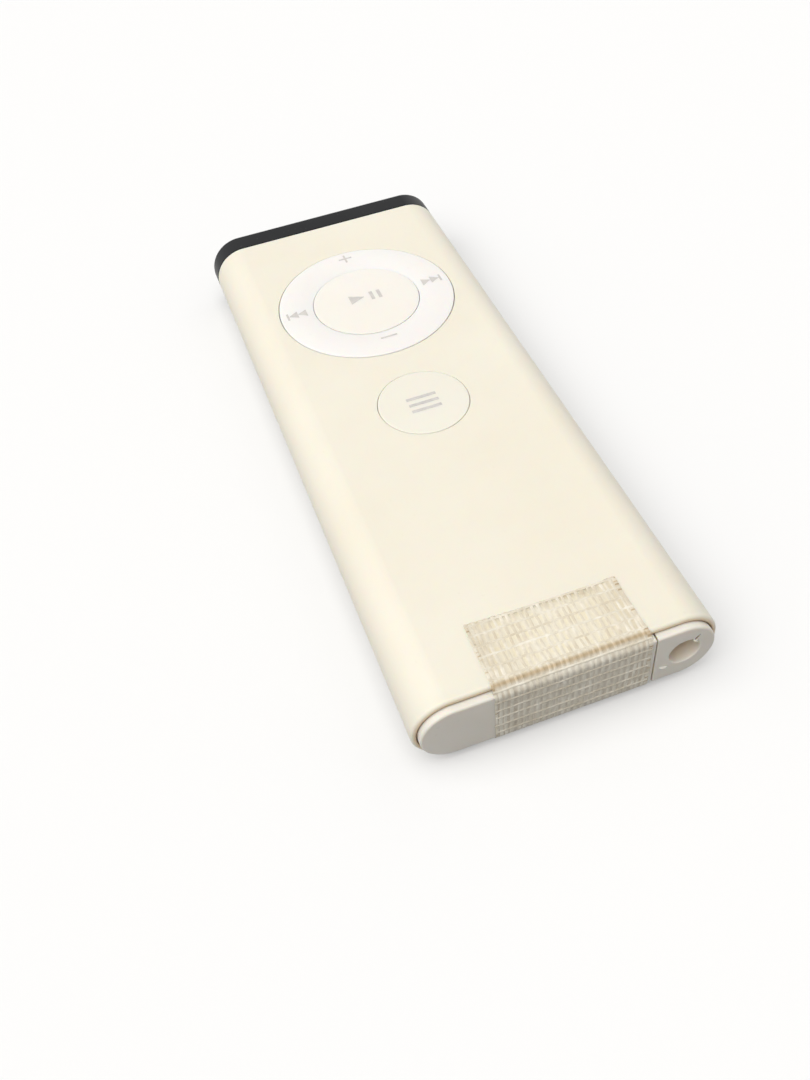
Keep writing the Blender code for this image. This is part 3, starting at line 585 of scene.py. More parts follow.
def makeTapeFilm():  # yellowed clear film, hazy where it spans air, with browned edges, a painted shadow along the crease and painted shade between the yarns
    material, tree, shader, place = startMaterial("tapeFilm")
    cloud = addNoise(tree, place, 900.0, 4.0, 0.7)
    clear = spread(tree, cloud, 0.36, 0.66)
    stuck, loose = (mixColour(tree, clear, *map(opaque, filmSet[name])) for name in ("stuck", "loose"))
    film = mixColour(tree, readAttribute(tree, "loose"), stuck, loose)
    # the first mix is painted shade between the yarns; the second is stain at the edges and painted shade at the fold
    # and in the cells
    for name in ("cellShade", "stainAndShade"):
        film = mixColour(tree, readAttribute(tree, name), film, opaque(filmSet[name]))
    fleck = spread(tree, addNoise(tree, place, 2600.0), 0.57, 0.64)
    flecks = mathNode(tree, "MULTIPLY", fleck, readAttribute(tree, "frayed"))
    thinned = mathNode(tree, "MULTIPLY", readAttribute(tree, "thin"), filmSet["thinning"])
    addBump(tree, shader, addNoise(tree, place, 1500.0, 3.0), filmSet["wrinkle"] * mm)
    setShader(tree, shader, {
        "Base Color": mixColour(tree, flecks, film, opaque(filmSet["fleck"])),
        "Alpha": mathNode(tree, "SUBTRACT", spread(tree, clear, 0, 1, *filmSet["cover"]), thinned),
        "Roughness": spread(tree, cloud, 0.3, 0.7, *filmSet["rough"]),
    })
    return material


threadSet = {
    "pale": (0.95, 0.905, 0.79), "soaked": (0.92, 0.86, 0.71), "tan": (0.66, 0.51, 0.32), "dirt": (0.20, 0.13, 0.07),
    "rough": (0.42, 0.62), "cover": (0.95, 0.55), "strand": 0.015,
}


def makeTapeThread():  # pale glass yarn soaked with glue, tan at shade 1 (random tone, and painted shade between cross yarns and at the fold) and dirty at shade 2
    material, tree, shader, place = startMaterial("tapeThread")
    soaked = spread(tree, addNoise(tree, place, 600.0, 4.0), 0.35, 0.7)
    tone = mixColour(tree, soaked, opaque(threadSet["pale"]), opaque(threadSet["soaked"]))
    shade = readAttribute(tree, "shade")
    for start, name in enumerate(("tan", "dirt")):
        tone = mixColour(tree, spread(tree, shade, start, start + 1), tone, opaque(threadSet[name]))
    strands = addNoise(tree, place, 5200.0)
    addBump(tree, shader, strands, threadSet["strand"] * mm)
    setShader(tree, shader, {
        "Base Color": tone, "Roughness": spread(tree, strands, 0.3, 0.7, *threadSet["rough"]),
        "Alpha": spread(tree, soaked, 0, 1, *threadSet["cover"]),
    })
    return material


plastics = {name: makePlastic(name) for name in plasticSet}
metals = {name: makeMetal(name) for name in metalSet}
smalls = {name: makeSmall(name) for name in smallSet}
smokedPlastic = makeWindowPlastic()
keyPrint = makeKeyPrint()
tapeThread = makeTapeThread()
slotFinish = {
    "ivory_plastic": plastics["ivoryPlastic"],
    "white_plastic": plastics["ringWhite"],
    "cap_plastic": plastics["capPlastic"],
    "frame_plastic": plastics["framePlastic"],
    "infrared_plastic": smokedPlastic,
    "board_laminate": makeLaminate(),
    "spring_steel": metals["springSteel"],
    "cell_steel": metals["cellSteel"],
    "tinned_copper": metals["tinnedWire"],
    "chip_resin": smalls["chipResin"],
    "ceramic": smalls["coatedCeramic"],
    "gasket_nylon": smalls["gasketNylon"],
    "led_resin": makeLampResin(),
    "filament_tape": makeTapeFilm(),
}
slotOf = {row["node"]: row["material_slot"] for row in frame["record"]["subparts"]}
for nodeName, slotName in slotOf.items():
    nodes[nodeName].data.materials.clear()
    nodes[nodeName].data.materials.append(slotFinish[slotName])
print("materials on", len(slotOf), "nodes")


# sleeve: one tube with a rebated mouth and two key holes

sleeveSet = {
    "wall": 1.2 * mm, "rim": 0.57 * mm, "rebate": 1.5 * mm, "mouthRound": 0.40 * mm, "lipRound": 0.06 * mm,
    "farRound": 0.10 * mm, "ringHole": 11.30 * mm, "lowerHole": 5.40 * mm, "holeRound": 0.05 * mm,
    "dirtAndShade": 1.0, "dirtShadeReach": 0.5 * mm, "holeSides": 128,
}


def makeSleeve():
    rim, wall = sleeveSet["rim"], sleeveSet["wall"]
    step = yNear + sleeveSet["rebate"]
    stations = [(0, yFar), (0, yNear), (rim, yNear), (rim, yNear + sleeveSet["dirtShadeReach"])]
    stations += [(rim, step), (wall, step), (wall, yFar), (0, yFar)]
    piece = ovalSweep("sleeveShell", stations, closed=True)
    roundEdges(piece, atStation(0, yNear), sleeveSet["mouthRound"], 6)
    roundEdges(piece, atStation(rim, yNear), sleeveSet["lipRound"], 2)
    roundEdges(piece, atStation(0, yFar), sleeveSet["farRound"], 2)
    endEdit()
    holes = (((0, ringY), sleeveSet["ringHole"]), ((0, lowerY), sleeveSet["lowerHole"]))
    for (x, y), radius in holes:
        carve(piece, addCylinder("keyHole", radius, (x, y, zMid), (x, y, keyTop + thick), sleeveSet["holeSides"]))
    startEdit(piece)
    for centre, radius in holes:
        roundEdges(piece, onCircle(centre, radius, sleeveHigh.z), sleeveSet["holeRound"], 3)
    endEdit()

    def inMouth(place):  # brown round the lip, partly dirt and partly painted warm shade, and dark painted shade of the gap inside the mouth; it fades inside the rebate
        depth = (place.y - yNear) / sleeveSet["dirtShadeReach"]
        edge = min(max((ovalInset(place) / mm - 0.10) / 0.45, 0.0), 1.0)
        return edge * sleeveSet["dirtAndShade"] * (1.0 if depth < 0.3 else 0.3 if depth < 1.1 else 0.0)

    soilAndShade(piece, inMouth)
    finishPiece(piece, "case", plastics["ivoryPlastic"], ["outer_sleeve"])


# window: a cap the shape of the case with a plug that reaches into the sleeve

windowSet = {
    "plugInset": 1.35 * mm, "seam": 0.1 * mm, "endRound": 0.6 * mm, "seamRound": 0.08 * mm, "lampRoom": 2.4 * mm,
}


def makeWindow():
    near = yFar + windowSet["seam"]
    plug = windowSet["plugInset"]
    piece = ovalSweep("windowCap", [(plug, windowLow.y), (plug, near), (0, near), (0, windowHigh.y)])
    roundEdges(piece, atStation(0, windowHigh.y), windowSet["endRound"], 6)
    roundEdges(piece, atStation(0, near), windowSet["seamRound"], 2)
    endEdit()
    lampStart, lampEnd = (0, windowLow.y - thick, zMid), (0, (yFar + windowHigh.y) / 2, zMid)
    carve(piece, addCylinder("lampRoom", windowSet["lampRoom"], lampStart, lampEnd, 48))
    finishPiece(piece, "case", smokedPlastic, ["ir_window"])


# end cap: an oval plate split by the seam into the fixed block and the front of the tray

capSet = {
    "faceRound": 0.25 * mm, "seamRound": 0.10 * mm, "holeRadius": 1.65 * mm, "holeRound": 0.15 * mm,
    "seamGap": 0.15 * mm, "dirtShadeRing": 0.1 * mm, "nick": (1.12, 1.64, 54), "nickSize": (0.52, 0.50, 0.15),
    "burrs": ((0.98, 1.32, -32, (0.30, 0.18, 0.10)), (-2.20, -1.43, -8, (0.46, 0.22, 0.08))),
    "dirtAndShade": 1.0, "holeShade": 0.45,
}
seamX = blockLow.x - capSet["seamGap"] / 2


def capPlate(name, side):  # side +1 keeps what lies right of the seam
    reaches = [yFront, yNear, yNear + capSet["dirtShadeRing"], yNear + sleeveSet["dirtShadeReach"], capBack]
    piece = ovalSweep(name, [(capInset, y) for y in reaches])
    roundEdges(piece, atStation(capInset, yFront), capSet["faceRound"], 4)
    cut = seamX + side * capSet["seamGap"] / 2
    bpy.ops.mesh.select_all(action="SELECT")
    bpy.ops.mesh.bisect(
        plane_co=(cut, 0, 0), plane_no=(side, 0, 0), use_fill=True, clear_inner=True, clear_outer=False,
    )
    closeMesh(piece)

    def onSeam(place):
        return abs(place.x - cut) < tiny and place.y < yFront + (capBack - yFront) / 2

    roundEdges(piece, onSeam, capSet["seamRound"], 3)
    endEdit()
    return piece


def gapDirtShade(place):  # dirt and painted shade of the gap where the front sits in the sleeve's mouth, fading inwards
    depth = (place.y - yNear) / sleeveSet["dirtShadeReach"]
    return capSet["dirtAndShade"] * (1.0 if 0.1 < depth < 0.3 else 0.3 if 0.3 <= depth < 1.1 else 0.0)


def addBead(name, across, up, turn, size):  # a stretched ball on the front face
    clearPick()
    bpy.ops.mesh.primitive_uv_sphere_add(
        segments=24, ring_count=12, radius=1, location=(across, yFront, up), rotation=(0, -math.radians(turn), 0)
    )
    return settle(name, [part * mm for part in size])


def makeEndBlock():
    piece = capPlate("endBlock", 1)
    x = plungerHigh.x - (plungerHigh.z - plungerLow.z) / 2  # the plunger's cam reaches to the left only
    hole = addCylinder("releaseHole", capSet["holeRadius"], (x, yFront - thick, zMid), (x, yNear + thick, zMid), 48)
    carve(piece, hole)
    startEdit(piece)

    def atMouth(place):
        reach = math.hypot(place.x - x, place.z - zMid)
        return abs(place.y - yFront) < tiny and abs(reach - capSet["holeRadius"]) < 2 * tiny

    roundEdges(piece, atMouth, capSet["holeRound"], 3)
    endEdit()
    nickX, nickZ = x + capSet["nick"][0] * mm, zMid + capSet["nick"][1] * mm
    carve(piece, addBead("nick", nickX, nickZ, capSet["nick"][2], capSet["nickSize"]))
    for across, up, turn, size in capSet["burrs"]:
        carve(piece, addBead("burr", x + across * mm, zMid + up * mm, turn, size), "UNION")

    def dirtShadeAt(place):  # dirt and painted shade in the gap and the nick, and a little painted shade down the hole
        if math.hypot(place.x - x, place.z - zMid) < capSet["holeRadius"] + tiny:
            return capSet["holeShade"] if place.y > yNear + 0.05 * mm else 0.0
        inNick = math.hypot(place.x - nickX, place.z - nickZ) < 0.6 * mm and place.y > yFront + 0.08 * mm
        return capSet["dirtAndShade"] if inNick else gapDirtShade(place)

    soilAndShade(piece, dirtShadeAt)
    finishPiece(piece, "case", plastics["capPlastic"], ["end_block"])


traySet = {
    "inset": 1.35 * mm, "rightSide": 8.0 * mm, "lip": 0.2 * mm, "wellPlay": 0.2 * mm, "gateWidth": 3.3 * mm,
    "softEdge": 0.12 * mm, "catchDepth": 0.6 * mm, "catchLength": 1.9 * mm, "catchHeight": 2.0 * mm,
    "catchFromBack": 16.2 * mm, "frontOverlap": 0.75 * mm, "seat": 0.1 * mm,
}


def makeTray():
    reaches = (capBack - traySet["frontOverlap"], trayHigh.y)
    drawer = ovalSweep("batteryTray", [(traySet["inset"], y) for y in reaches])
    bpy.ops.mesh.select_all(action="SELECT")
    bpy.ops.mesh.bisect(
        plane_co=(traySet["rightSide"], 0, 0), plane_no=(1, 0, 0), use_fill=True, clear_inner=False, clear_outer=True,
    )
    closeMesh(drawer)
    endEdit()
    cellX = (cellLow.x + cellHigh.x) / 2
    cellY = (cellLow.y + cellHigh.y) / 2
    wellRadius = (cellHigh.x - cellLow.x) / 2 + traySet["wellPlay"]
    wellFloor = cellLow.z - traySet["seat"]
    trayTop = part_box("coin_cell_cap")[1].z - traySet["lip"]
    carve(drawer, addCylinder("well", wellRadius, (cellX, cellY, wellFloor), (cellX, cellY, thick), 96))
    carve(drawer, addBlock("headRoom", (-thick * 4, capBack, trayTop), (thick * 4, trayHigh.y + thick, thick * 2)))
    gate = traySet["gateWidth"] / 2
    carve(drawer, addBlock("gate", (cellX - gate, cellY + wellRadius / 2, wellFloor),
                           (cellX + gate, trayHigh.y + thick, thick * 2)))
    catchY = trayHigh.y - traySet["catchFromBack"]
    tall, long = traySet["catchHeight"] / 2, traySet["catchLength"] / 2
    carve(drawer, addBlock("catch", (traySet["rightSide"] - traySet["catchDepth"], catchY - long, zMid - tall),
                           (thick * 2, catchY + long, zMid + tall)))
    softenEdges(drawer, traySet["softEdge"])
    carve(drawer, capPlate("trayFront", -1), "UNION")
    soilAndShade(drawer, gapDirtShade)
    finishPiece(drawer, "tray", plastics["capPlastic"], ["battery_tray"])


# keys: turned shapes with a flange under the wall

keySet = {
    "topRound": 0.10 * mm, "innerRound": 0.05 * mm, "flange": 0.4 * mm, "lift": 0.3 * mm, "nubRadius": 1.2 * mm,
    "ringOuter": 11.21 * mm, "ringInner": 6.84 * mm, "ringLip": 0.11 * mm, "ringRelief": 0.06 * mm,
    "ringStep": 7.55 * mm, "ringDip": 0.05 * mm, "ringBulge": 0.22 * mm, "ringNubRadius": 0.6 * mm,
    "ringNubCircle": 8.3 * mm, "centreRadius": 6.785 * mm, "centreBulge": 0.14 * mm, "lowerRadius": 5.33 * mm,
    "ringSteps": 10, "roundSteps": 8,
}


def ringHeight(reach):  # a low dome between the ring's two edges, the inner one lower
    share = (reach - keySet["ringInner"]) / (keySet["ringOuter"] - keySet["ringInner"])
    return keyTop - keySet["ringDip"] * (1 - share) + keySet["ringBulge"] * 4 * share * (1 - share)


def centreHeight(reach):
    return keyTop + keySet["centreBulge"] * (1 - (reach / keySet["centreRadius"]) ** 2)


def lowerHeight(reach):  # the lower key is flat
    return keyTop


def makeRing():
    outer, inner, step = keySet["ringOuter"], keySet["ringInner"], keySet["ringStep"]
    lip = (ringHigh.x - ringLow.x) / 2
    under = flangeBottom
    roof = under + keySet["lift"]
    wall, lipUnder = inner + keySet["ringRelief"], ringHeight(inner) - keySet["ringLip"]  # room for the tilt
    stations = [(wall, roof), (wall, lipUnder), (inner, lipUnder)]
    for k in range(keySet["ringSteps"] + 1):
        reach = inner + (outer - inner) * k / keySet["ringSteps"]
        stations.append((reach, ringHeight(reach)))
    stations += [(outer, under + keySet["flange"]), (lip, under + keySet["flange"]), (lip, under)]
    stations += [(step, under), (step, roof), (wall, roof)]
    piece = turnSweep("directionRing", (0, ringY), stations, closed=True)
    for radius, width in ((inner, keySet["innerRound"]), (outer, keySet["topRound"])):
        roundEdges(piece, onCircle((0, ringY), radius, ringHeight(radius)), width, 4)
    endEdit()
    reach = keySet["ringNubCircle"]
    for x, y in ((reach, 0), (-reach, 0), (0, reach), (0, -reach)):
        at = (x, ringY + y, ringLow.z), (x, ringY + y, under + keySet["flange"] / 2)
        carve(piece, addCylinder("nub", keySet["ringNubRadius"], *at, 24), "UNION")
    finishPiece(piece, "ring", plastics["ringWhite"], ["direction_ring"])


def makeRoundKey(name, nodeName, y, radius, edge, flangeTop, height, body, material):
    low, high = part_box(nodeName)
    lip, nub, rings = (high.x - low.x) / 2, keySet["nubRadius"], keySet["roundSteps"]
    under = flangeTop - keySet["flange"]
    stations = [(radius * k / rings, height(radius * k / rings)) for k in range(1, rings)]
    stations += [(radius, height(radius)), (radius, flangeTop), (lip, flangeTop)]
    stations += [(lip, under), (nub, under), (nub, low.z)]
    piece = turnSweep(name, (0, y), stations)
    roundEdges(piece, onCircle((0, y), radius, height(radius)), edge, 4)
    endEdit()
    finishPiece(piece, body, material, [nodeName])


def makeKeys():
    makeRing()
    makeRoundKey("centreKey", "centre_button", ringY, keySet["centreRadius"], keySet["innerRound"],
                 flangeBottom, centreHeight, "centre_key", plastics["centreWhite"])
    makeRoundKey("lowerKey", "menu_button", lowerY, keySet["lowerRadius"], keySet["topRound"],
                 flangeBottom + keySet["flange"], lowerHeight, "menu_key", plastics["keyIvory"])


# signs printed on the keys, as thin raised pads

signSet = {
    "ink": 0.02 * mm, "sink": 0.03 * mm,
    "plus": (0.19, 9.55), "plusSize": 1.75, "stroke": 0.26,
    "minus": (0.23, -8.30), "minusSize": 2.1,
    "back": (-9.06, 0.67), "forward": (9.00, 0.28), "skipWidth": 2.6, "skipHeight": 1.35, "skipBar": 0.26,
    "playLeft": -1.98, "playRight": -0.06, "playY": 0.62, "playHeight": 1.78,
    "pauseBars": (0.93, 1.92), "pauseWidth": 0.44, "pauseY": 0.5, "pauseHeight": 1.7,
    "listY": -0.15, "listWidth": 3.6, "listStroke": 0.42, "listPitch": 1.05,
}


def padBar(x, y, wide, deep):
    clearPick()
    bpy.ops.mesh.primitive_plane_add(size=1, location=(x, y, 0))
    return settle("pad", (wide, deep, 1))


def padArrow(x, y, wide, deep, way):  # way +1 points right
    clearPick()
    bpy.ops.mesh.primitive_circle_add(vertices=3, radius=1, fill_type="NGON", location=(0, 0, 0),
                                      rotation=(0, 0, -way * math.pi / 2))
    settle("pad").location = (x - way * wide / 6, y, 0)
    return settle("pad", (wide / 1.5, deep / math.sqrt(3), 1))


def finishSign(name, pads, height, centreY, body, slot):  # the pads follow the height of the key under them
    clearPick()
    for pad in pads:
        pad.select_set(True)
    bpy.context.view_layer.objects.active = pads[0]
    bpy.ops.object.join()
    piece = bpy.context.object
    piece.name = name
    startEdit(piece)
    bpy.ops.mesh.select_all(action="SELECT")
    bpy.ops.mesh.extrude_region_move(TRANSFORM_OT_translate={"value": (0, 0, signSet["ink"] + signSet["sink"])})
    closeMesh(piece)
    endEdit()
    for vertex in piece.data.vertices:
        vertex.co.z += height(math.hypot(vertex.co.x, vertex.co.y - centreY)) - signSet["sink"]
    finishPiece(piece, body, keyPrint)


def makeSigns():
    onRing = (ringHeight, ringY, "ring", "white_plastic")
    x, y = (part * mm for part in signSet["plus"])
    y += ringY
    size, stroke = signSet["plusSize"] * mm, signSet["stroke"] * mm
    arm = (size - stroke) / 2
    pads = [padBar(x, y, size, stroke)]
    for way in (-1, 1):
        pads.append(padBar(x, y + way * (stroke + arm) / 2, stroke, arm))
    finishSign("plusSign", pads, *onRing)
    x, y = (part * mm for part in signSet["minus"])
    finishSign("minusSign", [padBar(x, y + ringY, signSet["minusSize"] * mm, stroke)], *onRing)
    for name, way in (("back", -1), ("forward", 1)):
        x, y = (part * mm for part in signSet[name])
        y += ringY
        wide, tall, bar = (signSet[key] * mm for key in ("skipWidth", "skipHeight", "skipBar"))
        arrow = (wide - bar) / 2
        pads = [padBar(x + way * (wide - bar) / 2, y, bar, tall)]
        for step in (0, 1):
            pads.append(padArrow(x + way * (arrow * (0.5 + step) - wide / 2), y, arrow, tall, way))
        finishSign(name + "Sign", pads, *onRing)
    left, right = signSet["playLeft"] * mm, signSet["playRight"] * mm
    y = ringY + signSet["playY"] * mm
    pads = [padArrow((left + right) / 2, y, right - left, signSet["playHeight"] * mm, 1)]
    for x in signSet["pauseBars"]:
        y = ringY + signSet["pauseY"] * mm
        pads.append(padBar(x * mm, y, signSet["pauseWidth"] * mm, signSet["pauseHeight"] * mm))
    finishSign("playSign", pads, centreHeight, ringY, "centre_key", "white_plastic")
    pads = []
    for step in (-1, 0, 1):
        y = lowerY + (signSet["listY"] + step * signSet["listPitch"]) * mm
        pads.append(padBar(0, y, signSet["listWidth"] * mm, signSet["listStroke"] * mm))
    finishSign("listSign", pads, lowerHeight, lowerY, "menu_key", "ivory_plastic")


# tape: a film bent over the end, with yarn laid along and across it

tapeSet = {  # in millimetres, and shares of the width for the yarn at the two sides
    "left": (-7.60, -7.75), "right": (8.05, 8.15),  # places across, at the cut edge and at the fold
    "flapLeft": 7.6, "flapRight": 7.0, "flapUnder": 6.5, "bridge": 0.8, "lift": 0.08, "bend": 0.30, "film": 0.04,
    "bundles": 24, "selvedge": (0.004, 0.030, 0.970, 0.996), "bundleWide": 0.34, "fray": 0.05, "tab": 0.40,
    "rowPitch": 1.30, "rowWide": 0.24, "rowTall": (0.045, 0.060), "ribHeight": 0.045, "yarnTall": 0.04,
    "columns": 120, "rowStep": 0.14, "foldStep": 0.04, "yarnSteps": 190, "crossSteps": 96, "seed": 7,
}
stainSet = {  # strength and reach in millimetres of the brown on the film, stain at the edges and a painted shadow at the fold, then painted shade and dirt between the yarns, and painted shade on the yarn between rows and at the fold
    "fold": (0.95, 0.34), "seam": (0.45, 0.14), "sides": (0.42, 2.4), "cut": (0.30, 0.20),
    "cells": 0.04, "endCells": 0.38, "endUneven": 0.45, "endLeast": 0.08, "rowBetween": 0.23, "yarnFold": 0.27,
}


def clamp(value):
    return min(max(value, 0.0), 1.0)


def fade(distance, reach):
    return math.exp(-distance / (reach * mm))


def bell(distance, reach):
    return math.exp(-(distance / (reach * mm)) ** 2)


def wobble(*place):  # smooth noise from about -1 to 1
    return noise.noise(Vector(place))


def tapePath():  # points along the middle of the tape, from its top edge to its edge under the case
    lift, bridge = tapeSet["lift"] * mm, tapeSet["bridge"] * mm
    bend = yNear - lift / 2
    face = yFront - lift
    corners = [
        (yNear + tapeSet["flapLeft"] * mm, thick + lift), (bend, thick + lift), (face, thick - bridge),
        (face, bridge), (bend, -lift), (yNear + tapeSet["flapUnder"] * mm, -lift),
    ]
    corners = [Vector(corner) for corner in corners]
    points = [corners[0]]
    for before, corner, after in zip(corners, corners[1:], corners[2:]):
        radius = tapeSet["bend"] * mm
        start = corner + (before - corner).normalized() * radius
        end = corner + (after - corner).normalized() * radius
        for step in range(7):
            t = step / 6
            points.append(start * (1 - t) ** 2 + corner * 2 * t * (1 - t) + end * t * t)
    points.append(corners[-1])
    return points


class TapeShape:  # u is a share of the width, s the distance along the tape
    def __init__(self):
        self.points = tapePath()
        self.far = [0.0]
        for first, second in zip(self.points, self.points[1:]):
            self.far.append(self.far[-1] + (second - first).length)
        self.length = self.far[-1]
        self.width = (tapeSet["right"][1] - tapeSet["left"][1]) * mm
        self.fold = tapeSet["flapLeft"] * mm
        self.under = self.length - tapeSet["flapUnder"] * mm
        self.draw = random.Random(tapeSet["seed"])
        count, pitch = tapeSet["bundles"], tapeSet["rowPitch"] * mm
        self.bundles = [(k + 0.5 + self.draw.uniform(-0.12, 0.12)) / count for k in range(1, count - 1)]
        self.bundles += tapeSet["selvedge"]
        self.rows = []
        for k in range(int((self.length - 0.5 * mm) / pitch) + 1):
            self.rows.append(0.45 * mm + pitch * k + self.draw.uniform(-0.08, 0.08) * mm)

    def at(self, s):  # place (y, z) and outward direction
        s = min(max(s, 0.0), self.length)
        k = 0
        while k < len(self.far) - 2 and self.far[k + 1] < s:
            k += 1
        t = (s - self.far[k]) / max(self.far[k + 1] - self.far[k], 1e-9)
        run = (self.points[k + 1] - self.points[k]).normalized()
        return self.points[k].lerp(self.points[k + 1], t), Vector((0, run.y, -run.x))

    def spot(self, u, s, height):
        t = min(s / self.fold, 1.0)
        left = tapeSet["left"][0] * (1 - t) + tapeSet["left"][1] * t
        right = tapeSet["right"][0] * (1 - t) + tapeSet["right"][1] * t
        place, out = self.at(s)
        return Vector(((left + (right - left) * u) * mm, place.x, place.y)) + out * height

    def cutAt(self, u):  # the slanting, slightly torn top edge, with a tab left at its right end
        slant = (tapeSet["flapLeft"] - tapeSet["flapRight"]) * u
        torn = 0.10 * wobble(u * 30, 3.1, 0) + 0.05 * wobble(u * 90, 8.3, 0)
        tab = tapeSet["tab"] if u > 0.94 else 0.0
        return max(slant + 0.12 + torn - tab, 0.0) * mm

    def overRow(self, s):  # 1 on a cross yarn, 0 between
        return max(max(0.0, 1 - ((s - row) / (tapeSet["rowWide"] * 0.8 * mm)) ** 2) for row in self.rows)

    def overBundle(self, u):  # 1 on a yarn along the tape, 0 between
        reach = tapeSet["bundleWide"] * 0.8 * mm
        return max(max(0.0, 1 - ((u - bundle) * self.width / reach) ** 2) for bundle in self.bundles)

    def filmSpot(self, u, s):
        lift = max(self.overBundle(u) * 0.9, self.overRow(s) * 0.8)
        height = lift * tapeSet["ribHeight"] - 0.03 + 0.02 * wobble(u * 14, s / mm * 0.8, 2)
        place = self.spot(u, s, height * mm)
        if u in (0, 1):  # the sides stand out a little at each cross yarn
            jag = 0.06 * wobble(s / mm * 2.2, 5.0 * u, 1) + 0.06 * self.overRow(s)
            place.x += jag * mm * (1 if u else -1)
        return place

    def stains(self, u, s, start):  # what the film's material reads at each vertex
        side = min(u, 1 - u) * self.width
        # painted shade between the yarns, used in the brown and, on the end, as its own darker tone
        cellShade = (1 - self.overBundle(u)) * (1 - self.overRow(s))  # between the yarns
        # the fold term is a painted shadow along the crease; the seam, side and cut terms are stain
        brown = max(
            stainSet["fold"][0] * bell(s - self.fold, stainSet["fold"][1]),
            stainSet["seam"][0] * bell(side - 0.1 * mm, stainSet["seam"][1]),
            stainSet["sides"][0] * fade(side, stainSet["sides"][1]),
            stainSet["cut"][0] * fade(s - start, stainSet["cut"][1]),
        )
        onEnd = clamp((s - self.fold) / (0.7 * mm) - 0.9) * (s < self.under)
        uneven = stainSet["endCells"] + stainSet["endUneven"] * wobble(u * 22, s / mm * 0.9, 15)
        return {
            "stainAndShade": brown + cellShade * stainSet["cells"] * (1 - brown),
            "loose": min(clamp((s - self.fold) / (0.4 * mm)), clamp((self.under - s) / (0.4 * mm))),
            "frayed": max(fade(side, 0.2), 0.45 * fade(s - start, 0.3)),
            "thin": bell(s - start, 0.55) * clamp((side - 1.5 * mm) / (2.0 * mm)),
            "cellShade": max(uneven, stainSet["endLeast"]) * cellShade * onEnd,
        }


def linkModel(name, model):
    bmesh.ops.recalc_face_normals(model, faces=model.faces)
    mesh = bpy.data.meshes.new(name)
    model.to_mesh(mesh)
    model.free()
    piece = bpy.data.objects.new(name, mesh)
    bpy.context.scene.collection.objects.link(piece)
    return piece


def makeFilm(shape):
    model = bmesh.new()
    names = ("stainAndShade", "loose", "frayed", "thin", "cellShade")
    layers = {name: model.verts.layers.float.new(name) for name in names}
    columns = tapeSet["columns"]
    marks = [-shape.fold]  # distances from the fold
    while marks[-1] < shape.length - shape.fold - 0.05 * mm:
        step = tapeSet["foldStep"] if abs(marks[-1]) < 0.35 * mm else tapeSet["rowStep"]
        marks.append(min(marks[-1] + step * mm, shape.length - shape.fold))
    grid = []
    for mark in marks:
        line = []
        for i in range(columns + 1):
            u = i / columns
            start = shape.cutAt(u)
            s = shape.fold + mark * ((shape.fold - start) / shape.fold if mark < 0 else 1)
            vertex = model.verts.new(shape.filmSpot(u, s))
            for name, value in shape.stains(u, s, start).items():
                vertex[layers[name]] = value
            line.append(vertex)
        grid.append(line)
    for upper, lower in zip(grid, grid[1:]):
        for i in range(columns):
            model.faces.new((upper[i], lower[i], lower[i + 1], upper[i + 1]))
    film = linkModel("tapeFilm", model)
    solid = film.modifiers.new("sheet", "SOLIDIFY")
    solid.thickness = tapeSet["film"] * mm
    solid.offset = 0
    activate(film)
    bpy.ops.object.modifier_apply(modifier=solid.name)
    return finishPiece(film, "tray", slotFinish["filament_tape"], ["filament_tape"], angle=60)


def startYarn():
    model = bmesh.new()
    model.verts.layers.float.new("shade")
    return model


def addYarn(model, points, tones, wide, tall, sides=6):  # a flattened tube along points with outward directions
    shade = model.verts.layers.float["shade"]
    loops = []
    for k, (place, out) in enumerate(points):
        ahead = (points[min(k + 1, len(points) - 1)][0] - points[max(k - 1, 0)][0]).normalized()
        cross = ahead.cross(out).normalized()
        loop = []
        for step in range(sides):
            angle = 2 * math.pi * step / sides
            vertex = model.verts.new(place + cross * wide * math.cos(angle) + out * tall * math.sin(angle))
            vertex[shade] = tones[k]
            loop.append(vertex)
        loops.append(loop)
    for first, second in zip(loops, loops[1:]):
        for step in range(sides):
            other = (step + 1) % sides
            model.faces.new((first[step], first[other], second[other], second[step]))
    model.faces.new(list(reversed(loops[0])))
    model.faces.new(loops[-1])


def yarnTone(shape, s, wave, tone, outermost):
    tone += 0.25 * wobble(s / mm * 1.3, wave, 7)
    if s < shape.fold:  # on top it is painted darker between the cross yarns, a painted shade, and paler on them; on the end pale all along
        tone += stainSet["rowBetween"] * (1 - shape.overRow(s))
    else:
        tone *= 0.4
    # a painted shadow along the crease at the fold
    tone = max(tone, bell(s - shape.fold, stainSet["yarnFold"]), 0)
    if outermost:  # spots of dirt along the two sides
        tone = min(max(tone, 5 * wobble(s / mm * 4.4, wave, 12) - 0.9), 1.8)
    return tone


def makeYarnAlong(shape):
    model, count = startYarn(), tapeSet["yarnSteps"]
    for bundle in shape.bundles:
        start = max(shape.cutAt(clamp(bundle)) - shape.draw.uniform(-0.15, tapeSet["fray"]) * mm, 0.0)
        wave, tone = shape.draw.uniform(0, 100), shape.draw.uniform(-0.08, 0.12)
        wide = tapeSet["bundleWide"] / 2 * shape.draw.uniform(0.8, 1.2) * mm
        outermost = not 0.01 < bundle < 0.99
        points, tones = [], []
        for k in range(count + 1):
            s = start + (shape.length - start) * k / count
            u = bundle + 0.10 * mm / shape.width * wobble(s / mm * 0.5, wave, 0)
            points.append((shape.spot(u, s, 0.01 * mm), shape.at(s)[1]))
            tones.append(yarnTone(shape, s, wave, tone, outermost))
        addYarn(model, points, tones, wide, tapeSet["yarnTall"] * mm)
    return finishPiece(linkModel("tapeYarnAlong", model), "tray", tapeThread, angle=60)


